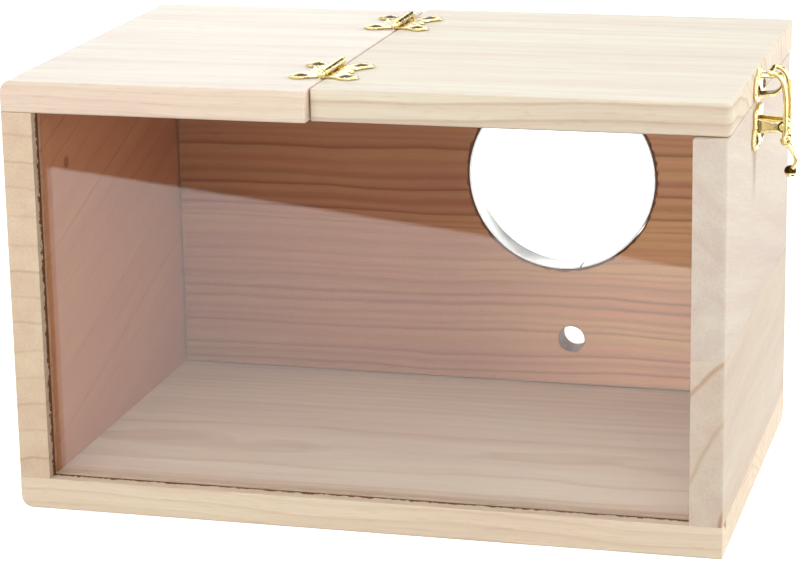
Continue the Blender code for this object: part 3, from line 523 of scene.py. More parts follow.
    # bands of fibres lean to pink or to yellow
    pink, yellow = lean
    leaning = add(tree, "ValToRGB", {"stops": [(0.36, (*pink, 1)), (0.64, (*yellow, 1))]}, {"Fac": broad})
    last = add(tree, "Mix", {**TIMES, 0: 1.0}, {6: grain, 7: leaning})
    last = add(tree, "Mix", {**TIMES, 7: (0.80, 0.70, 0.60, 1.0)}, {0: fleck, 6: last})
    parts = add(tree, "SeparateXYZ", None, {0: where["Object"]}).outputs
    # painted highlight: the face that looks up is tinted lighter and whiter, as if more light fell on it
    if up is not None:
        last = add(tree, "Mix", {**TIMES, 7: (*up, 1.0)}, {0: above, 6: last})
    if knot is not None:
        # a pin knot: a dark ring round a middling centre
        point, wide = knot
        off = add(tree, "VectorMath DISTANCE", {1: [v * MM for v in point]}, {0: where["Object"]})
        share = add(tree, "MapRange", {"From Max": wide * MM}, {"Value": off})
        eye = add(tree, "ValToRGB",
                  {"stops": [(0.0, (0.75, 0.62, 0.5, 1)), (0.35, (0.5, 0.36, 0.28, 1)),
                             (0.6, (0.92, 0.85, 0.8, 1)), (1.0, 1.0)]}, {"Fac": share})
        last = add(tree, "Mix", {**TIMES, 0: 1.0}, {6: last, 7: eye})
    if inside is not None:
        # painted shade: the inner face is tinted more red and darker, partly as warmer wood and partly as
        # the shade inside the box; the tint fades in over 0.8 mm of depth, and keeps off the edges that
        # show in front and behind
        axis, at, sign = inside
        deep = add(tree, "MapRange",
                   {"From Min": (at + sign * 0.9) * MM, "From Max": (at + sign * 0.1) * MM},
                   {"Value": parts[axis]})
        for low, high in ((PANE_LOW.y - 0.1 * MM, PANE_LOW.y),
                          (BACK_LOW.y + 1.1 * MM, BACK_LOW.y + 0.9 * MM)):
            within = add(tree, "MapRange", {"From Min": low, "From Max": high}, {"Value": parts[1]})
            deep = add(tree, "Math MULTIPLY", None, {0: deep, 1: within})
        inner_shade_tint = tuple(np.divide(colours.inside, colours.outside).tolist())
        last = add(tree, "Mix", {**TIMES, 7: (*inner_shade_tint, 1.0)}, {0: deep, 6: last})
        if fade is not None:
            # painted shade, darker towards one end and lighter towards the other: axis, start and end of
            # the change in mm, and the factors at both ends
            axis, start, end, dull, pale = fade
            far = add(tree, "MapRange",
                      {"From Min": start * MM, "From Max": end * MM, "interpolation_type": "SMOOTHSTEP"},
                      {"Value": parts[axis]})
            change = add(tree, "ValToRGB", {"stops": [(0.0, (*dull, 1.0)), (1.0, (*pale, 1.0))]},
                         {"Fac": far})
            last = add(tree, "Mix", TIMES, {0: deep, 6: last, 7: change})
    for a, at_a, b, at_b, wide, bend in edge_shades:
        # a line of painted shade along an edge gap, ragged and brown as if scorched, along the third axis:
        # two axes, its places on them in mm, how far it reaches at most, and the radius of the circle it
        # runs on
        weights = [1.0 if i in (a, b) else 0.0 for i in range(3)]
        point = [0.0, 0.0, 0.0]
        point[a], point[b] = at_a * MM, at_b * MM
        near = add(tree, "VectorMath SUBTRACT", {1: point}, {0: where["Object"]})
        near = add(tree, "VectorMath MULTIPLY", {1: weights}, {0: near})
        away = add(tree, "VectorMath LENGTH", None, {0: near})
        away = add(tree, "Math SUBTRACT", {1: bend * MM}, {0: away})
        away = add(tree, "Math ABSOLUTE", None, {0: away})
        ragged = add(tree, "TexNoise", {"Scale": 600.0, "Detail": 2.0}, {"Vector": where["Object"]})
        reach = add(tree, "MapRange",
                    {"From Min": 0.3, "From Max": 0.7, "To Min": 0.2 * wide * MM, "To Max": wide * MM},
                    {"Value": ragged})
        close = add(tree, "Math SUBTRACT", None, {0: reach, 1: away})
        edge_shade_line = add(tree, "MapRange", {"From Min": -0.15 * MM, "From Max": 0.15 * MM}, {"Value": close})
        last = add(tree, "Mix", {**COLOURS, 7: (*colours.edge_shade, 1.0)}, {0: edge_shade_line, 6: last})
    rough = add(tree, "MapRange", {"To Min": 0.5, "To Max": 0.72}, {"Value": streak})
    relief = add(tree, "Math MULTIPLY_ADD", {1: 0.35}, {0: rings, 2: streak})
    bump = add(tree, "Bump", {"Strength": 0.22, "Distance": 0.08 * MM}, {"Height": relief})
    shader = add(tree, "BsdfPrincipled", {"IOR": 1.5, "Specular IOR Level": 0.3},
                 {"Base Color": last, "Roughness": rough, "Normal": bump})
    add(tree, "OutputMaterial", None, {0: shader})
    return look


def plated_brass():
    """Bright brass plating on stamped steel: a yellow mirror, a little uneven, brown in the recesses,
    where patina and painted shade lie. It is made once, and all the brass shares it."""
    name = "bright_plated_brass"
    if name in bpy.data.materials:
        return bpy.data.materials[name]
    colours = bpy.context.scene.nest_box_colours
    look, tree = new_look(name)
    where = add(tree, "TexCoord").outputs
    patina_and_shade_mark = add(tree, "Attribute", {"attribute_name": "tarnish"})
    # the plating is dull in patches of about 2 mm, and the stamping leaves waves of about 1 mm
    patch = add(tree, "TexNoise", {"Scale": 500.0, "Detail": 2.0}, {"Vector": where["Object"]})
    wave = add(tree, "TexNoise", {"Scale": 900.0, "Detail": 1.0}, {"Vector": where["Object"]})
    # each point's mark of patina and painted shade darkens the brass to brown
    edge = add(tree, "MapRange", {"From Min": 0.15, "From Max": 0.8}, {"Value": patina_and_shade_mark.outputs["Fac"]})
    colour = add(tree, "Mix",
                 {**COLOURS, 6: (*colours.brass, 1.0), 7: (*colours.tarnish, 1.0)}, {0: edge})
    rough = add(tree, "MapRange",
                {"From Min": 0.3, "From Max": 0.7, "To Min": 0.10, "To Max": 0.24}, {"Value": patch})
    bump = add(tree, "Bump", {"Strength": 0.3, "Distance": 0.08 * MM}, {"Height": wave})
    shader = add(tree, "BsdfPrincipled", {"Metallic": 1.0},
                 {"Base Color": colour, "Roughness": rough, "Normal": bump})
    add(tree, "OutputMaterial", None, {0: shader})
    return look


def brushed_metal(name, colour, low, high, scale):
    """Plain metal with fine lines, which streak its gloss: from rolling on the strip, from drawing on
    the brads. scale is how many lines a metre holds along X, Y and Z."""
    look, tree = new_look(name)
    where = add(tree, "TexCoord").outputs
    squeezed = add(tree, "VectorMath MULTIPLY", {1: scale}, {0: where["Object"]})
    line = add(tree, "TexNoise", {"Scale": 1.0, "Detail": 3.0}, {"Vector": squeezed})
    rough = add(tree, "MapRange", {"To Min": low, "To Max": high}, {"Value": line})
    shade = add(tree, "MapRange", {"To Min": 0.8, "To Max": 1.1}, {"Value": line})
    base = add(tree, "VectorMath SCALE", {0: tuple(colour)}, {"Scale": shade})
    bump = add(tree, "Bump", {"Strength": 0.15, "Distance": 0.02 * MM}, {"Height": line})
    shader = add(tree, "BsdfPrincipled", {"Metallic": 1.0},
                 {"Base Color": base, "Roughness": rough, "Normal": bump})
    add(tree, "OutputMaterial", None, {0: shader})
    return look


def cast_acrylic():
    """Clear cast acrylic sheet: IOR 1.49, polished, with a trace of handling haze in its gloss."""
    look, tree = new_look("clear_cast_acrylic")
    where = add(tree, "TexCoord").outputs
    haze = add(tree, "TexNoise", {"Scale": 30.0, "Detail": 3.0}, {"Vector": where["Object"]})
    rough = add(tree, "MapRange", {"From Min": 0.35, "From Max": 0.75, "To Max": 0.03}, {"Value": haze})
    shader = add(tree, "BsdfPrincipled",
                 {"Base Color": linear("#FBFCFD"), "IOR": 1.49, "Transmission Weight": 1.0},
                 {"Roughness": rough})
    add(tree, "OutputMaterial", None, {0: shader})
    return look


def recoat(node, look):
    """Give a CAD node its material."""
    for slot in frame["nodes"][node].material_slots:
        slot.material = look


# Operators, one for each piece or group of like pieces

class NESTBOX_OT_boards(bpy.types.Operator):
    """Build the floor, the ends, the back and the top boards of planed wood"""
    bl_idname = "nestbox.boards"
    bl_label = "Boards"

    def execute(self, context):
        s = context.scene.nest_box_sizes
        soft, crisp = s.soft_edge, s.crisp_edge
        gap = 0.05 * MM
        foot = FLOOR_HIGH.z
        g0, g1 = PANE_LOW.y - gap, PANE_HIGH.y + gap
        xzy = lambda a, b, c: np.stack([a, c, b], -1)
        xyz = lambda a, b, c: np.stack([a, b, c], -1)
        yzx = lambda a, b, c: np.stack([c, a, b], -1)
        # fixed top: outline in XZ, carried along Y
        look = planed_wood("planed_top_board", 1.0, (1, 0.01, 0.004), (0, -30, 60), 2.6,
                           "#E9D6C4", "#CDB49C", 0.5, up=(1.05, 1.20, 1.34))
        x0, x1, z0, z1 = TOP_LOW.x, TOP_HIGH.x, TOP_LOW.z, TOP_HIGH.z
        shell = plank([(x0, z0, crisp), (x1, z0, soft), (x1, z1, soft), (x0, z1, s.top_corner)],
                      (TOP_LOW.y, TOP_HIGH.y), soft, xzy)
        piece("top_board", [shell], look, "box", ["fixed_top_board"])
        # lid: outline in XY, carried up
        look = planed_wood("planed_lid_board", 2.0, (1, -0.02, 0.012), (0, -52, 62), 4.6,
                           "#E2D6C2", "#B0835E", 0.6, up=(1.07, 1.14, 1.24))
        x0, x1, y0, y1 = LID_LOW.x, LID_HIGH.x, LID_LOW.y, LID_HIGH.y
        shell = plank([(x0, y0, soft), (x1, y0, s.lid_corner), (x1, y1, s.lid_corner), (x0, y1, soft)],
                      (LID_LOW.z, LID_HIGH.z), soft, xyz)
        piece("lid_plank", [shell], look, "lid", ["lid_board"])
        # ends: outline in XY with the groove for the pane, carried up from the floor
        groove_y = PANE_LOW.y / MM
        look = planed_wood("planed_left_end", 3.0, (0, 0.955, 0.30), (-95, 0, -75), 7.5,
                           "#DAC4AA", "#A67F5C", 0.5, profile=THIN_RING, knot=((-91, -38.7, 95.5), 3.2),
                           inside=(0, -91.0, -1), edge_shades=((0, -91.0, 1, groove_y - 0.4, 2.6, 0.0),))
        x0, x1, y0, y1 = LEFT_LOW.x, LEFT_HIGH.x, LEFT_LOW.y, LEFT_HIGH.y
        deep = PANE_LOW.x - gap
        shell = plank([(x0, y0, soft), (x1, y0, crisp), (x1, g0, crisp), (deep, g0, crisp),
                       (deep, g1, crisp), (x1, g1, crisp), (x1, y1, crisp), (x0, y1, soft)],
                      (foot, TOP_LOW.z), crisp, xyz)
        piece("left_end", [shell], look, "box", ["left_side_panel"])
        x0, x1, joint = LOWER_LOW.x, LOWER_HIGH.x, LOWER_HIGH.z
        deep = PANE_HIGH.x + gap
        outline = [(x0, y0, crisp), (x1, y0, soft * 1.4), (x1, y1, soft), (x0, y1, crisp),
                   (x0, g1, crisp), (deep, g1, crisp), (deep, g0, crisp), (x0, g0, crisp)]
        look = planed_wood("planed_lower_stave", 4.0, (0.02, 1, 0.02), (147, 0, 1.0), 12.0,
                           "#D2C4B2", "#A96E4A", 0.9, along=0.15, profile=THIN_RING, inside=(0, 91.0, 1))
        piece("right_end_lower", [plank(outline, (foot, joint), crisp, xyz)], look, "box",
              ["right_side_lower_board"])
        look = planed_wood("planed_upper_stave", 5.0, (0.0, 1, -0.25), (150, 0, 130), 9.0,
                           "#D6C9BC", "#C4A890", 0.3, along=0.4, inside=(0, 91.0, 1))
        piece("right_end_upper", [plank(outline, (joint, UPPER_HIGH.z), crisp, xyz)], look, "box",
              ["right_side_upper_board"])
        # floor: outline in YZ with the groove, carried along X; its underside rises at the left end
        look = planed_wood("planed_floor_board", 6.0, (1, 0.02, 0.0), (0, -20, -45), 3.0,
                           "#E4D3BC", "#C6A27E", 0.45, edge_shades=((1, groove_y - 0.2, 2, 9.0, 1.7, 0.0),))
        z0, z1 = FLOOR_LOW.z, FLOOR_HIGH.z
        sink, end_edge = PANE_LOW.z - gap, soft * 0.5
        shell = plank([(y0, z0, soft), (y1, z0, s.floor_back), (y1, z1, crisp), (g1, z1, crisp),
                       (g1, sink, crisp), (g0, sink, crisp), (g0, z1, crisp), (y0, z1, crisp)],
                      (FLOOR_LOW.x, FLOOR_HIGH.x), end_edge, yzx)
        verts, faces, mark = shell
        # stations inside the corner are spread over its radius, and each is lifted by r - sqrt(r^2 - d^2)
        near = verts[:, 0] < FLOOR_LOW.x + soft
        spread = (verts[:, 0] - FLOOR_LOW.x) / end_edge
        verts[:, 0] = np.where(near, FLOOR_LOW.x + spread * s.floor_corner, verts[:, 0])
        d = np.clip(FLOOR_LOW.x + s.floor_corner - verts[:, 0], 0, s.floor_corner)
        lift = s.floor_corner - np.sqrt(s.floor_corner ** 2 - d ** 2)
        verts[:, 2] += lift * (1 - verts[:, 2] / z1)
        piece("floor_plank", [(verts, faces, mark)], look, "box", ["floor_board"])
        # back: the CAD board's own surface, merged and smoothed so that its bores are round
        look = planed_wood("planed_back_panel", 7.0, (1, 0.0, 0.012), (0, 110, 190), 2.9,
                           "#DDCBB8", "#8A5836", 0.7, profile=SOFT_RING, uneven=3.0, lean=CLEAR_LEAN,
                           inside=(1, 54.5, 1),
                           fade=(0, -10, 85, (0.75, 0.71, 0.65), (1.58, 2.08, 2.22)),
                           edge_shades=((0, 32.5, 2, 75.0, 0.75, 29.2), (0, 35.5, 2, 23.9, 0.35, 4.0)))
        mesh = frame["nodes"]["back_panel"].data.copy()
        bm = bmesh.new()
        bm.from_mesh(mesh)
        bmesh.ops.remove_doubles(bm, verts=bm.verts, dist=WELD)
        bm.to_mesh(mesh)
        bm.free()
        if "custom_normal" in mesh.attributes:
            mesh.attributes.remove(mesh.attributes["custom_normal"])
        settle("back_plank", mesh, look, "box", ["back_panel"], 30)
        return {"FINISHED"}


class NESTBOX_OT_pane(bpy.types.Operator):
    """Finish the front pane as clear cast acrylic"""
    bl_idname = "nestbox.pane"
    bl_label = "Pane"

    def execute(self, context):
        recoat("window_pane", cast_acrylic())
        return {"FINISHED"}


class NESTBOX_OT_metal_strip(bpy.types.Operator):
    """Build the split metal liner of the entrance and finish the brads"""
    bl_idname = "nestbox.metal_strip"
    bl_label = "Liner and brads"

    def execute(self, context):
        colours = context.scene.nest_box_colours
        look = brushed_metal("satin_aluminium_strip", colours.liner, 0.3, 0.45, (2500, 60, 2500))
        middle = (LINER_LOW + LINER_HIGH) / 2
        outer = (LINER_HIGH.x - LINER_LOW.x) / 2
        half = (LINER_HIGH.y - LINER_LOW.y) / 2
        sheet, half_split = 0.6 * MM, 0.3 * MM
        # turned about +Y, an angle a of the ring stands at -a seen from the front
        split = math.radians(78)
        gap = half_split / outer
        shell = ring(outer - sheet, outer, -half, half, middle, (0, 1, 0), 0.12 * MM,
                     split + gap, 2 * math.pi - 2 * gap, 160)
        piece("entrance_strip", [shell], look, "box", ["entrance_liner"])
        steel = brushed_metal("plain_steel_brads", colours.steel, 0.3, 0.5, (4000, 4000, 300))
        for node in frame["nodes"]:
            if node.startswith("floor_brad"):
                recoat(node, steel)
        return {"FINISHED"}


def cross_recess(depth, turn):
    """A cross recess: two arms with soft walls, deepest in the middle. The recess is painted darkest,
    as patina and painted shade; the dome round it is brown.
    """
    half_wide, side_wall = 0.36 * MM, 0.14 * MM
    half_long, end_wall = 1.12 * MM, 0.16 * MM
    end_loss, end_at = 0.45, 1.1 * MM
    dome_brown = 0.78

    def sink(x, y):
        a = x * math.cos(turn) + y * math.sin(turn)
        b = y * math.cos(turn) - x * math.sin(turn)
        away = np.hypot(a, b)
        inside = np.clip((half_wide - np.minimum(np.abs(a), np.abs(b))) / side_wall, 0, 1)
        inside *= np.clip((half_long - away) / end_wall, 0, 1)
        return depth * inside * (1 - end_loss * away / end_at), np.maximum(inside, dome_brown)
    return sink


def screw_shell(node, axis, depth, turn):
    """An oval-head screw in the place of its node: a dome with a cross recess, a cone and a shank."""
    head, dome_high, rim, shank = 1.55 * MM, 0.35 * MM, 0.12 * MM, 0.8 * MM
    neck, taper, tip, tip_radius = 0.6 * MM, 5.6 * MM, 7.4 * MM, 0.05 * MM
    low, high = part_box(node)
    middle = (low + high) / 2
    face = Vector([high[i] if axis[i] else middle[i] for i in range(3)]) - Vector(axis) * dome_high
    r = np.linspace(0.03, 1, 18)
    dome = np.stack([r * head, dome_high * (1 - r ** 2) + WELD / 10], -1)
    rest = np.array([(head, -rim), (shank, -neck), (shank, -taper), (tip_radius, -tip)])
    return turned(np.concatenate([dome, rest]), face, axis, 56, cross_recess(depth, turn))


class NESTBOX_OT_screws(bpy.types.Operator):
    """Build the twelve oval-head screws with their cross recesses"""
    bl_idname = "nestbox.screws"
    bl_label = "Screws"

    def execute(self, context):
        s = context.scene.nest_box_sizes
        look = plated_brass()
        names = sorted(n for n in frame["nodes"] if "_screw_" in n)
        for number, node in enumerate(names):
            axis = (1, 0, 0) if node.startswith("latch") else (0, 0, 1)
            body = frame["nodes"][node]["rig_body"]
            shell = screw_shell(node, axis, s.recess, 0.5 + number * 1.9)
            piece(node + "_cross", [shell], look, body, [node], 40)
        return {"FINISHED"}


def leaf_shell(axis, side, s, spots):
    """A stamped butterfly leaf: at each y the sheet spans from its inner to its outer edge, with a
    lens section whose rims are round; a bead follows the outer edge, and screws sit in dishes."""
    inner, reach, half, thick = 1.55 * MM, 9.9 * MM, 11.0 * MM, 0.3 * MM
    curve = smooth(LEAF_SHARES, 10)
    tip = int(np.argmax(curve[:, 1]))
    v = np.sin(np.linspace(-math.pi / 2, math.pi / 2, 90)) * curve[tip, 1] * 0.999
    at = np.abs(v)
    x_in = np.interp(at, curve[:tip + 1, 1], curve[:tip + 1, 0])
    outer = curve[tip:][::-1]
    x_out = np.interp(at, outer[:, 1], outer[:, 0])
    x_in, x_out = (inner + x * (reach - inner) for x in (x_in, x_out))
    x_out = np.maximum(x_out, x_in + 0.02 * MM)
    w = np.sin(np.linspace(-math.pi / 2, math.pi / 2, 30))
    top = thick * (1 - np.abs(w) ** 8) ** (1 / 3)
    section_w = np.concatenate([w, w[-2:0:-1]])
    section_h = np.concatenate([top, -top[-2:0:-1]])
    mid, wide = (x_in + x_out)[:, None] / 2, (x_out - x_in)[:, None] / 2
    x = mid + wide * section_w
    y = np.broadcast_to((v * half)[:, None], x.shape)
    in_mm = ((0.8, 0.3), (1.25, 0.22), (1.75, 0.34), 1.85, 0.55)
    # patina and painted shade at the bead's foot and round each screw
    h, dark = pressed(section_h, section_h > 0, (1 - section_w) * wide, x, y, spots, s.bead, s.dish, in_mm)
    rows = np.stack([axis[0] + side * x, axis[1] + y, axis[2] + h], -1)
    return loft(rows, mark=dark)


def knuckle_shell(axis_x, axis_z, centre_y, span, side, leaf_z):
    """A rolled knuckle: the sheet runs in under the pin and wraps round it by 285 degrees."""
    radius, sheet, lead_from, lead_to, lead_steps = 1.03 * MM, 0.42 * MM, 2.6 * MM, 0.15 * MM, 6
    angle = np.radians(np.linspace(-90, -375, 44))
    roll = np.stack([radius * np.cos(angle) * side, radius * np.sin(angle)], -1)
    lead = np.stack([np.linspace(lead_from, lead_to, lead_steps) * side, np.full(lead_steps, -radius)], -1)
    path = np.concatenate([lead, roll]) + (axis_x, axis_z)
    path[:lead_steps, 1] += np.linspace(leaf_z - (axis_z - radius), 0, lead_steps)
    low, high = span
    return ribbon(path, high - low, sheet, centre_y + (low + high) / 2, 14.0, 36)


class NESTBOX_OT_hinges(bpy.types.Operator):
    """Build the two butterfly hinges: leaves, rolled knuckles and ball-ended pins"""
    bl_idname = "nestbox.hinges"
    bl_label = "Hinges"

    def execute(self, context):
        s = context.scene.nest_box_sizes
        look = plated_brass()
        axis = JOINTS["lid_hinge"]
        leaf_z = TOP_HIGH.z + 0.5 * MM
        half, middle, slack = 8.6 * MM, 2.92 * MM, 0.3 * MM
        ball, pin = 1.15 * MM, 0.55 * MM
        hole_x, hole_y = 6.3 * MM, 8.2 * MM
        for label in ("front", "rear"):
            low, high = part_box(label + "_hinge_pin")
            y = (low.y + high.y) / 2
            spots = [(hole_x, -hole_y), (hole_x, hole_y)]
            sides = (("fixed", -1, "box", [(-middle, middle)]),
                     ("lid", 1, "lid", [(-half, -middle - slack), (middle + slack, half)]))
            for word, side, body, spans in sides:
                shells = [leaf_shell((axis.x, y, leaf_z), side, s, spots)]
                shells += [knuckle_shell(axis.x, axis.z, y, span, side, leaf_z) for span in spans]
                node = "%s_hinge_%s_leaf" % (label, word)
                piece(node + "_stamped", shells, look, body, [node], 40)
            centre = half + slack + ball
            a = np.linspace(0.02, math.pi - math.asin(pin / ball), 16)
            arc = np.stack([ball * np.sin(a), centre + ball * np.cos(a)], -1)
            profile = np.concatenate([arc, arc[::-1] * (1, -1)])
            node = label + "_hinge_pin"
            shell = turned(profile, (axis.x, y, axis.z), (0, 1, 0), 32)
            piece(node + "_balls", [shell], look, "box", [node], 40)
        return {"FINISHED"}


def mirrored(shares, width, foot, height, middle):
    """A closed outline from shares of its right half, mirrored to the left."""
    half = smooth(shares, 8)
    right = np.stack([middle + half[:, 0] * width / 2, foot + half[:, 1] * height], -1)
    left = right[-2:0:-1] * (-1, 1) + (2 * middle, 0)
    return np.concatenate([right, left])


class NESTBOX_OT_latch(bpy.types.Operator):
    """Build the toggle latch: catch, base, pin, lever and bail"""
    bl_idname = "nestbox.latch"
    bl_label = "Latch"

    def execute(self, context):
        s = context.scene.nest_box_sizes
        look = plated_brass()
        pin, eye = JOINTS["lever_pivot"], JOINTS["bail_pivot"]
        y = pin.y
        facing = lambda a, b, h: np.stack([h, a, b], -1)
        plate_wide, plate_thick, screw_apart = 18 * MM, 1.0 * MM, 5.4 * MM
        # catch plate and its looped hook; the bail's bar rests below the lid's upper face
        foot, height, back = CATCH_LOW.z, 8.4 * MM, CATCH_LOW.x
        bar_below, seat_gap = 1.7 * MM, 0.55 * MM
        hook_out, hook_high, hook_wide, hook_thick = 5.8 * MM, 5.2 * MM, 5.2 * MM, 1.1 * MM
        outline = mirrored(CATCH_SHARES, plate_wide, foot, height, y)
        spots = [(y + side * screw_apart, foot + 0.38 * height) for side in (-1, 1)]
        plate = stamped(outline, (y, foot + 0.45 * height), back, back + plate_thick, facing, spots,
                        s.bead, s.dish)
        root, face = back + plate_thick / 2, back + plate_thick
        seat = LID_HIGH.z - bar_below - seat_gap
        low = seat - hook_high
        loop = [(face + u * hook_out, low + v * hook_high) for u, v in HOOK_SHARES]
        path = smooth([(root, low), *loop, (root, seat)], 8)
        # patina and painted shade on the inner side of the hook's loop
        hook = ribbon(path, hook_wide, hook_thick, y, 3.2, 40, 0.75)
        piece("catch_with_hook", [plate, hook], look, "lid", ["latch_catch_plate"], 40)
        # base plate and its ears
        foot, height, back = BASE_LOW.z, 12.4 * MM, BASE_LOW.x
        ear_radius, ear_root, ear_thick, ear_apart = 1.6 * MM, 2.08 * MM, 0.8 * MM, 2.7 * MM
        outline = mirrored(BASE_SHARES, plate_wide, foot, height, y)
        spots = [(y + side * screw_apart, foot + 0.27 * height) for side in (-1, 1)]
        shells = [stamped(outline, (y, foot + 0.48 * height), back, back + plate_thick, facing, spots,
                          s.bead, s.dish)]
        turn = np.linspace(0, math.pi, 30)
        cap = np.stack([pin.x + ear_radius * np.sin(turn), pin.z - ear_radius * np.cos(turn)], -1)
        root = back + plate_thick / 2
        ear = np.concatenate([[(root, pin.z - ear_root)], cap, [(root, pin.z + ear_root)]])
        for sign in (-1, 1):
            # the stamped side of each ear is its outer side
            outwards = lambda a, b, h: np.stack([a, y + sign * (ear_apart + h), b], -1)
            # patina and painted shade in a ring round the pin and at the foot of the ear's bead
            shells.append(stamped(ear, ((root + pin.x) / 2, pin.z), -ear_thick / 2, ear_thick / 2, outwards,
                                  [(pin.x, pin.z)], 0.05 * MM, 0.1 * MM, 1.25))
        piece("base_with_ears", shells, look, "box", ["latch_base_plate"], 40)
        # pin with spread heads
        half, head_wide, head_high, shank = 3.4 * MM, 1.1 * MM, 0.5 * MM, 0.7 * MM
        a = np.linspace(0.03, math.pi / 2, 8)
        head = np.stack([head_wide * np.sin(a), half + head_high * np.cos(a)], -1)
        profile = np.concatenate([head, [(head_wide, half), (shank, half)]])
        profile = np.concatenate([profile, profile[::-1] * (1, -1)])
        shell = turned(profile, pin, (0, 1, 0), 32)
        piece("pin_with_heads", [shell], look, "box", ["latch_lever_pin"], 40)
        # lever: a strip that leaves the pin, passes the eye and narrows towards a knob
        tail_out, tail_down, knob_radius, barrel_half = 3.5 * MM, 12.9 * MM, 1.69 * MM, 1.98 * MM
        strip_wide, strip_less, strip_thick = 4.0 * MM, 1.5 * MM, 1.2 * MM
        narrow_from, narrow_over = 3 * MM, 6 * MM
        tail = [(pin.x + u * tail_out, pin.z - v * tail_down) for u, v in LEVER_SHARES]
        path = smooth([(pin.x, pin.z), (eye.x, eye.z), *tail], 12)
        width = strip_wide - strip_less * np.clip((travelled(path) - narrow_from) / narrow_over, 0, 1)
        strip = ribbon(path, width, strip_thick, y, 3.5)
        end = path[-1]
        a = np.linspace(0.02, math.pi - 0.02, 22)
        knob = np.stack([knob_radius * np.sin(a), knob_radius * np.cos(a)], -1)
        ball = turned(knob, (end[0], y, end[1]), (0.6, 0, -1), 32)
        # painted shade: the knob is brown above a line 0.6 mm below its middle, and the brown ends over 0.4
        # mm
        ball[2][:] = 0.8 * np.clip((ball[0][:, 2] - end[1] + 0.6 * MM) / (0.4 * MM), 0, 1)
        shells = [strip, ball]
        for at, inner, outer in ((pin, 1.0 * MM, 1.5 * MM), (eye, 0.95 * MM, 1.45 * MM)):
            shells.append(ring(inner, outer, -barrel_half, barrel_half, at, (0, 1, 0), 0.15 * MM))
        piece("lever_with_knob", shells, look, "lever", ["latch_lever"], 40)
        # bail: wire from the eye up its bowed arms to the bar over the hook. The arms' ends are bent
        # in: between two corner points the path moves by 1 - sin t, for t from 0 to a right angle.
        wire, sheet_half, lean, wide, r = 0.65 * MM, 0.3 * MM, 4.2 * MM, 4.9 * MM, 1.2 * MM
        bar = (eye.x - lean, LID_HIGH.z - bar_below + sheet_half + wire)
        rise = bar[1] - eye.z
        bow = [(eye.x - u * lean, eye.z + v * rise) for u, v in BAIL_SHARES]
        arm = smooth([(eye.x, eye.z), *bow, bar], 10)
        arm = np.stack([arm[:, 0], np.full(len(arm), -wide), arm[:, 1]], -1)[5:-6]
        sine = np.sin(np.linspace(0, math.pi / 2, 9)[:, None])
        cosine = np.cos(np.linspace(0, math.pi / 2, 9)[:, None])
        start = [(eye.x, -0.8 * MM, eye.z), (eye.x, -wide + r * 1.6, eye.z)]
        lower = np.array([eye.x, -wide, eye.z])
        upper = np.array([bar[0], -wide, bar[1]])
        first = lower + (arm[0] - lower) * sine + (0, r, 0) * (1 - sine) ** 2
        last = upper + (arm[-1] - upper) * (1 - sine) ** 2 + (0, r, 0) * (1 - cosine)
        half_path = np.concatenate([start, first[1:], arm[1:], last[1:]])
        path = np.concatenate([half_path, half_path[::-1] * (1, -1, 1)]) + (0, y, 0)
        piece("bail_wire", [tube(path, wire)], look, "bail", ["latch_bail"], 60)
        return {"FINISHED"}


def sheet_object(name, corners, look):
    """A flat four-cornered stage sheet."""
    mesh = bpy.data.meshes.new(name)
    mesh.from_pydata([tuple(c) for c in corners], [], [(0, 1, 2, 3)])
    mesh.materials.append(look)
    obj = linked(name, mesh)
    return obj


def softbox(name, place, target, size, power, colour):
    """A rectangular area lamp aimed at a point."""
    lamp = bpy.data.lights.new(name, "AREA")
    lamp.shape = "RECTANGLE"
    lamp.size, lamp.size_y = size
    lamp.energy = power
    lamp.color = linear(colour)[:3]
    away = Vector(place) - Vector(target)
    turn = away.to_track_quat("Z", "Y").to_matrix().to_4x4()
    linked(name, lamp).matrix_world = Matrix.Translation(place) @ turn


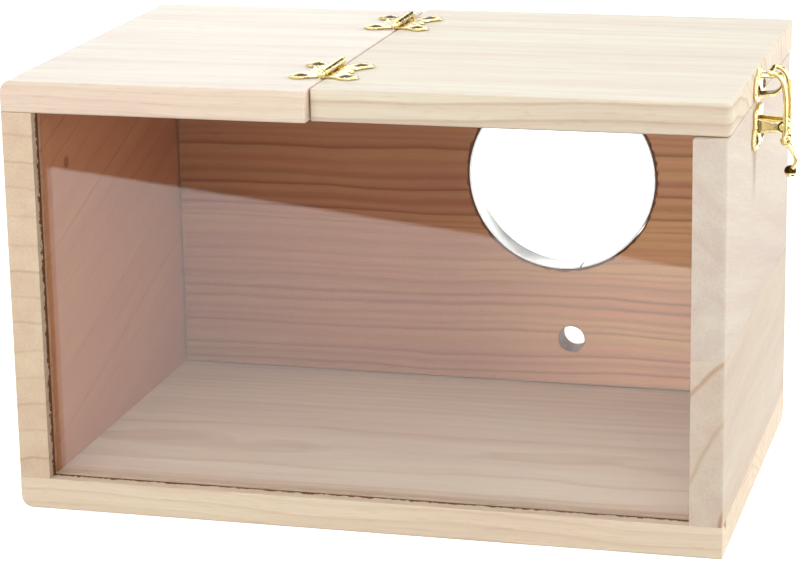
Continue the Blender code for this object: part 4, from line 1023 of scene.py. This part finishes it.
class NESTBOX_OT_studio(bpy.types.Operator):
    """Build the white floor and air, the lamps, the dark flag, the black cards and the camera"""
    bl_idname = "nestbox.studio"
    bl_label = "Studio"

    def execute(self, context):
        scene = context.scene
        white = scene.nest_box_colours.studio
        # floor: pure white to the camera and brighter still in mirrors; to the box it is paper that
        # throws back half of the light
        look, tree = new_look("white_paper_floor")
        rays = add(tree, "LightPath").outputs
        glow = add(tree, "Math MULTIPLY_ADD", {1: 1.62},
                   {0: rays["Is Glossy Ray"], 2: rays["Is Camera Ray"]})
        shader = add(tree, "BsdfPrincipled",
                     {"Base Color": (*[v * 0.5 for v in white], 1.0), "Roughness": 0.9,
                      "Specular IOR Level": 0.0, "Emission Color": (*white, 1.0)},
                     {"Emission Strength": glow})
        add(tree, "OutputMaterial", None, {0: shader})
        sheet_object("studio_floor", [(-6, -6, 0), (6, -6, 0), (6, 6, 0), (-6, 6, 0)], look)
        # dark flag in front of the box, seen only as a reflection in the pane, and black cards round
        # the box, seen only in the brass
        look, tree = new_look("dark_flag")
        shader = add(tree, "BsdfPrincipled", {"Base Color": (0.02, 0.015, 0.012, 1.0), "Roughness": 0.9})
        clear = add(tree, "BsdfTransparent")
        rays = add(tree, "LightPath").outputs
        mix = add(tree, "MixShader", None, {0: rays["Glossy Depth"], 1: clear, 2: shader})
        add(tree, "OutputMaterial", None, {0: mix})
        sheets = [("dark_flag", flag_corners())]
        sheets += [(name, [(*near, CARD_FOOT), (*far, CARD_FOOT), (*far, CARD_TOP), (*near, CARD_TOP)])
                   for name, near, far in CARDS]
        front, back, z = LOW_CARD_FRONT, LOW_CARD_BACK, LOW_CARD_Z
        sheets += [("floor_card_%d" % i, [(a, front, z), (b, front, z), (b, back, z), (a, back, z)])
                   for i, (a, b) in enumerate(LOW_CARDS)]
        for name, corners in sheets:
            sheet = sheet_object(name, corners, look)
            sheet.visible_camera = sheet.visible_diffuse = sheet.visible_shadow = False
        # air: even and dim, but the brass mirrors bright air with dark curtains in it
        world = bpy.data.worlds.new("studio_air")
        scene.world = world
        world.use_nodes = True
        tree = world.node_tree
        tree.nodes.clear()
        even = add(tree, "Background", {"Color": (*white, 1.0), "Strength": 0.3})
        where = add(tree, "TexCoord").outputs
        folds = add(tree, "TexNoise", {"Scale": 2.3, "Detail": 1.0}, {"Vector": where["Generated"]})
        curtain = add(tree, "ValToRGB", {"stops": [(0.44, (0.03, 0.03, 0.02, 1)), (0.54, 1.0)]},
                      {"Fac": folds})
        mirrored_air = add(tree, "Background", {"Strength": 2.3}, {"Color": curtain})
        rays = add(tree, "LightPath").outputs
        mix = add(tree, "MixShader", None, {0: rays["Is Glossy Ray"], 1: even, 2: mirrored_air})
        add(tree, "OutputWorld", None, {0: mix})
        for lamp in LAMPS:
            softbox(*lamp)
        # the lamp behind lights the back, and its sheen on the top is kept off
        bpy.data.objects["back_softbox"].visible_glossy = False
        scene.view_settings.view_transform = "Standard"
        make_camera(scene)
        return {"FINISHED"}


def flag_corners():
    """The flag's corners: the sight lines that meet the pane at the two ends of the line of reflected
    light, mirrored in the pane, give its near edge 1 mm over the floor. It runs past them by 1.5
    times their distance, and 2.5 m away from the box."""
    eye, flag_z = Vector(CAMERA_PLACE), 0.001
    near = []
    for x, z in ((-0.0905, 0.0985), (0.0905, 0.0784)):
        at = Vector((x, PANE_LOW.y, z))
        way = (at - eye).normalized()
        way.y = -way.y
        near.append(at + way * (at.z - flag_z) / -way.z)
    run = near[1] - near[0]
    left, right = near[0] - run * 1.5, near[1] + run * 1.5
    far = Vector((0, -2.5, 0))
    return [left, left + far, right + far, right]


def make_camera(scene):
    """The photograph's camera, turned to the right by a, up by e and about its own axis by r."""
    a, e, r = (math.radians(v) for v in (CAMERA_RIGHT, CAMERA_UP, CAMERA_ROLL))
    back = Vector((math.sin(a) * math.cos(e), -math.cos(a) * math.cos(e), math.sin(e)))
    right = Vector((math.cos(a), math.sin(a), 0))
    up = right.cross(-back)
    side = right * math.cos(r) + up * math.sin(r)
    top = up * math.cos(r) - right * math.sin(r)
    camera = bpy.data.cameras.new("photo_camera")
    camera.sensor_width = 36
    camera.lens = CAMERA_LENS
    camera.clip_start = 0.01
    turn = Matrix((side, top, back)).transposed().to_4x4()
    scene.camera = linked("photo_camera", camera)
    scene.camera.matrix_world = Matrix.Translation(CAMERA_PLACE) @ turn


OPERATORS = (NESTBOX_OT_boards, NESTBOX_OT_pane, NESTBOX_OT_metal_strip, NESTBOX_OT_screws,
             NESTBOX_OT_hinges, NESTBOX_OT_latch, NESTBOX_OT_studio)


class NESTBOX_PT_panel(bpy.types.Panel):
    """Sizes, colours and steps of the nest box"""
    bl_label = "Nest Box"
    bl_idname = "NESTBOX_PT_panel"
    bl_space_type = "VIEW_3D"
    bl_region_type = "UI"
    bl_category = "Nest Box"

    def draw(self, context):
        for group in (context.scene.nest_box_sizes, context.scene.nest_box_colours):
            for name in group.__annotations__:
                self.layout.prop(group, name)
        for operator in OPERATORS:
            self.layout.operator(operator.bl_idname)


CLASSES = (NestBoxSizes, NestBoxColours, *OPERATORS, NESTBOX_PT_panel)


def register():
    for cls in CLASSES:
        bpy.utils.register_class(cls)
    bpy.types.Scene.nest_box_sizes = bpy.props.PointerProperty(type=NestBoxSizes)
    bpy.types.Scene.nest_box_colours = bpy.props.PointerProperty(type=NestBoxColours)


def unregister():
    del bpy.types.Scene.nest_box_colours
    del bpy.types.Scene.nest_box_sizes
    for cls in reversed(CLASSES):
        bpy.utils.unregister_class(cls)


def main():
    register()
    bpy.ops.nestbox.boards()
    bpy.ops.nestbox.pane()
    bpy.ops.nestbox.metal_strip()
    bpy.ops.nestbox.screws()
    bpy.ops.nestbox.hinges()
    bpy.ops.nestbox.latch()
    bpy.ops.nestbox.studio()


if __name__ == "__main__":
    main()
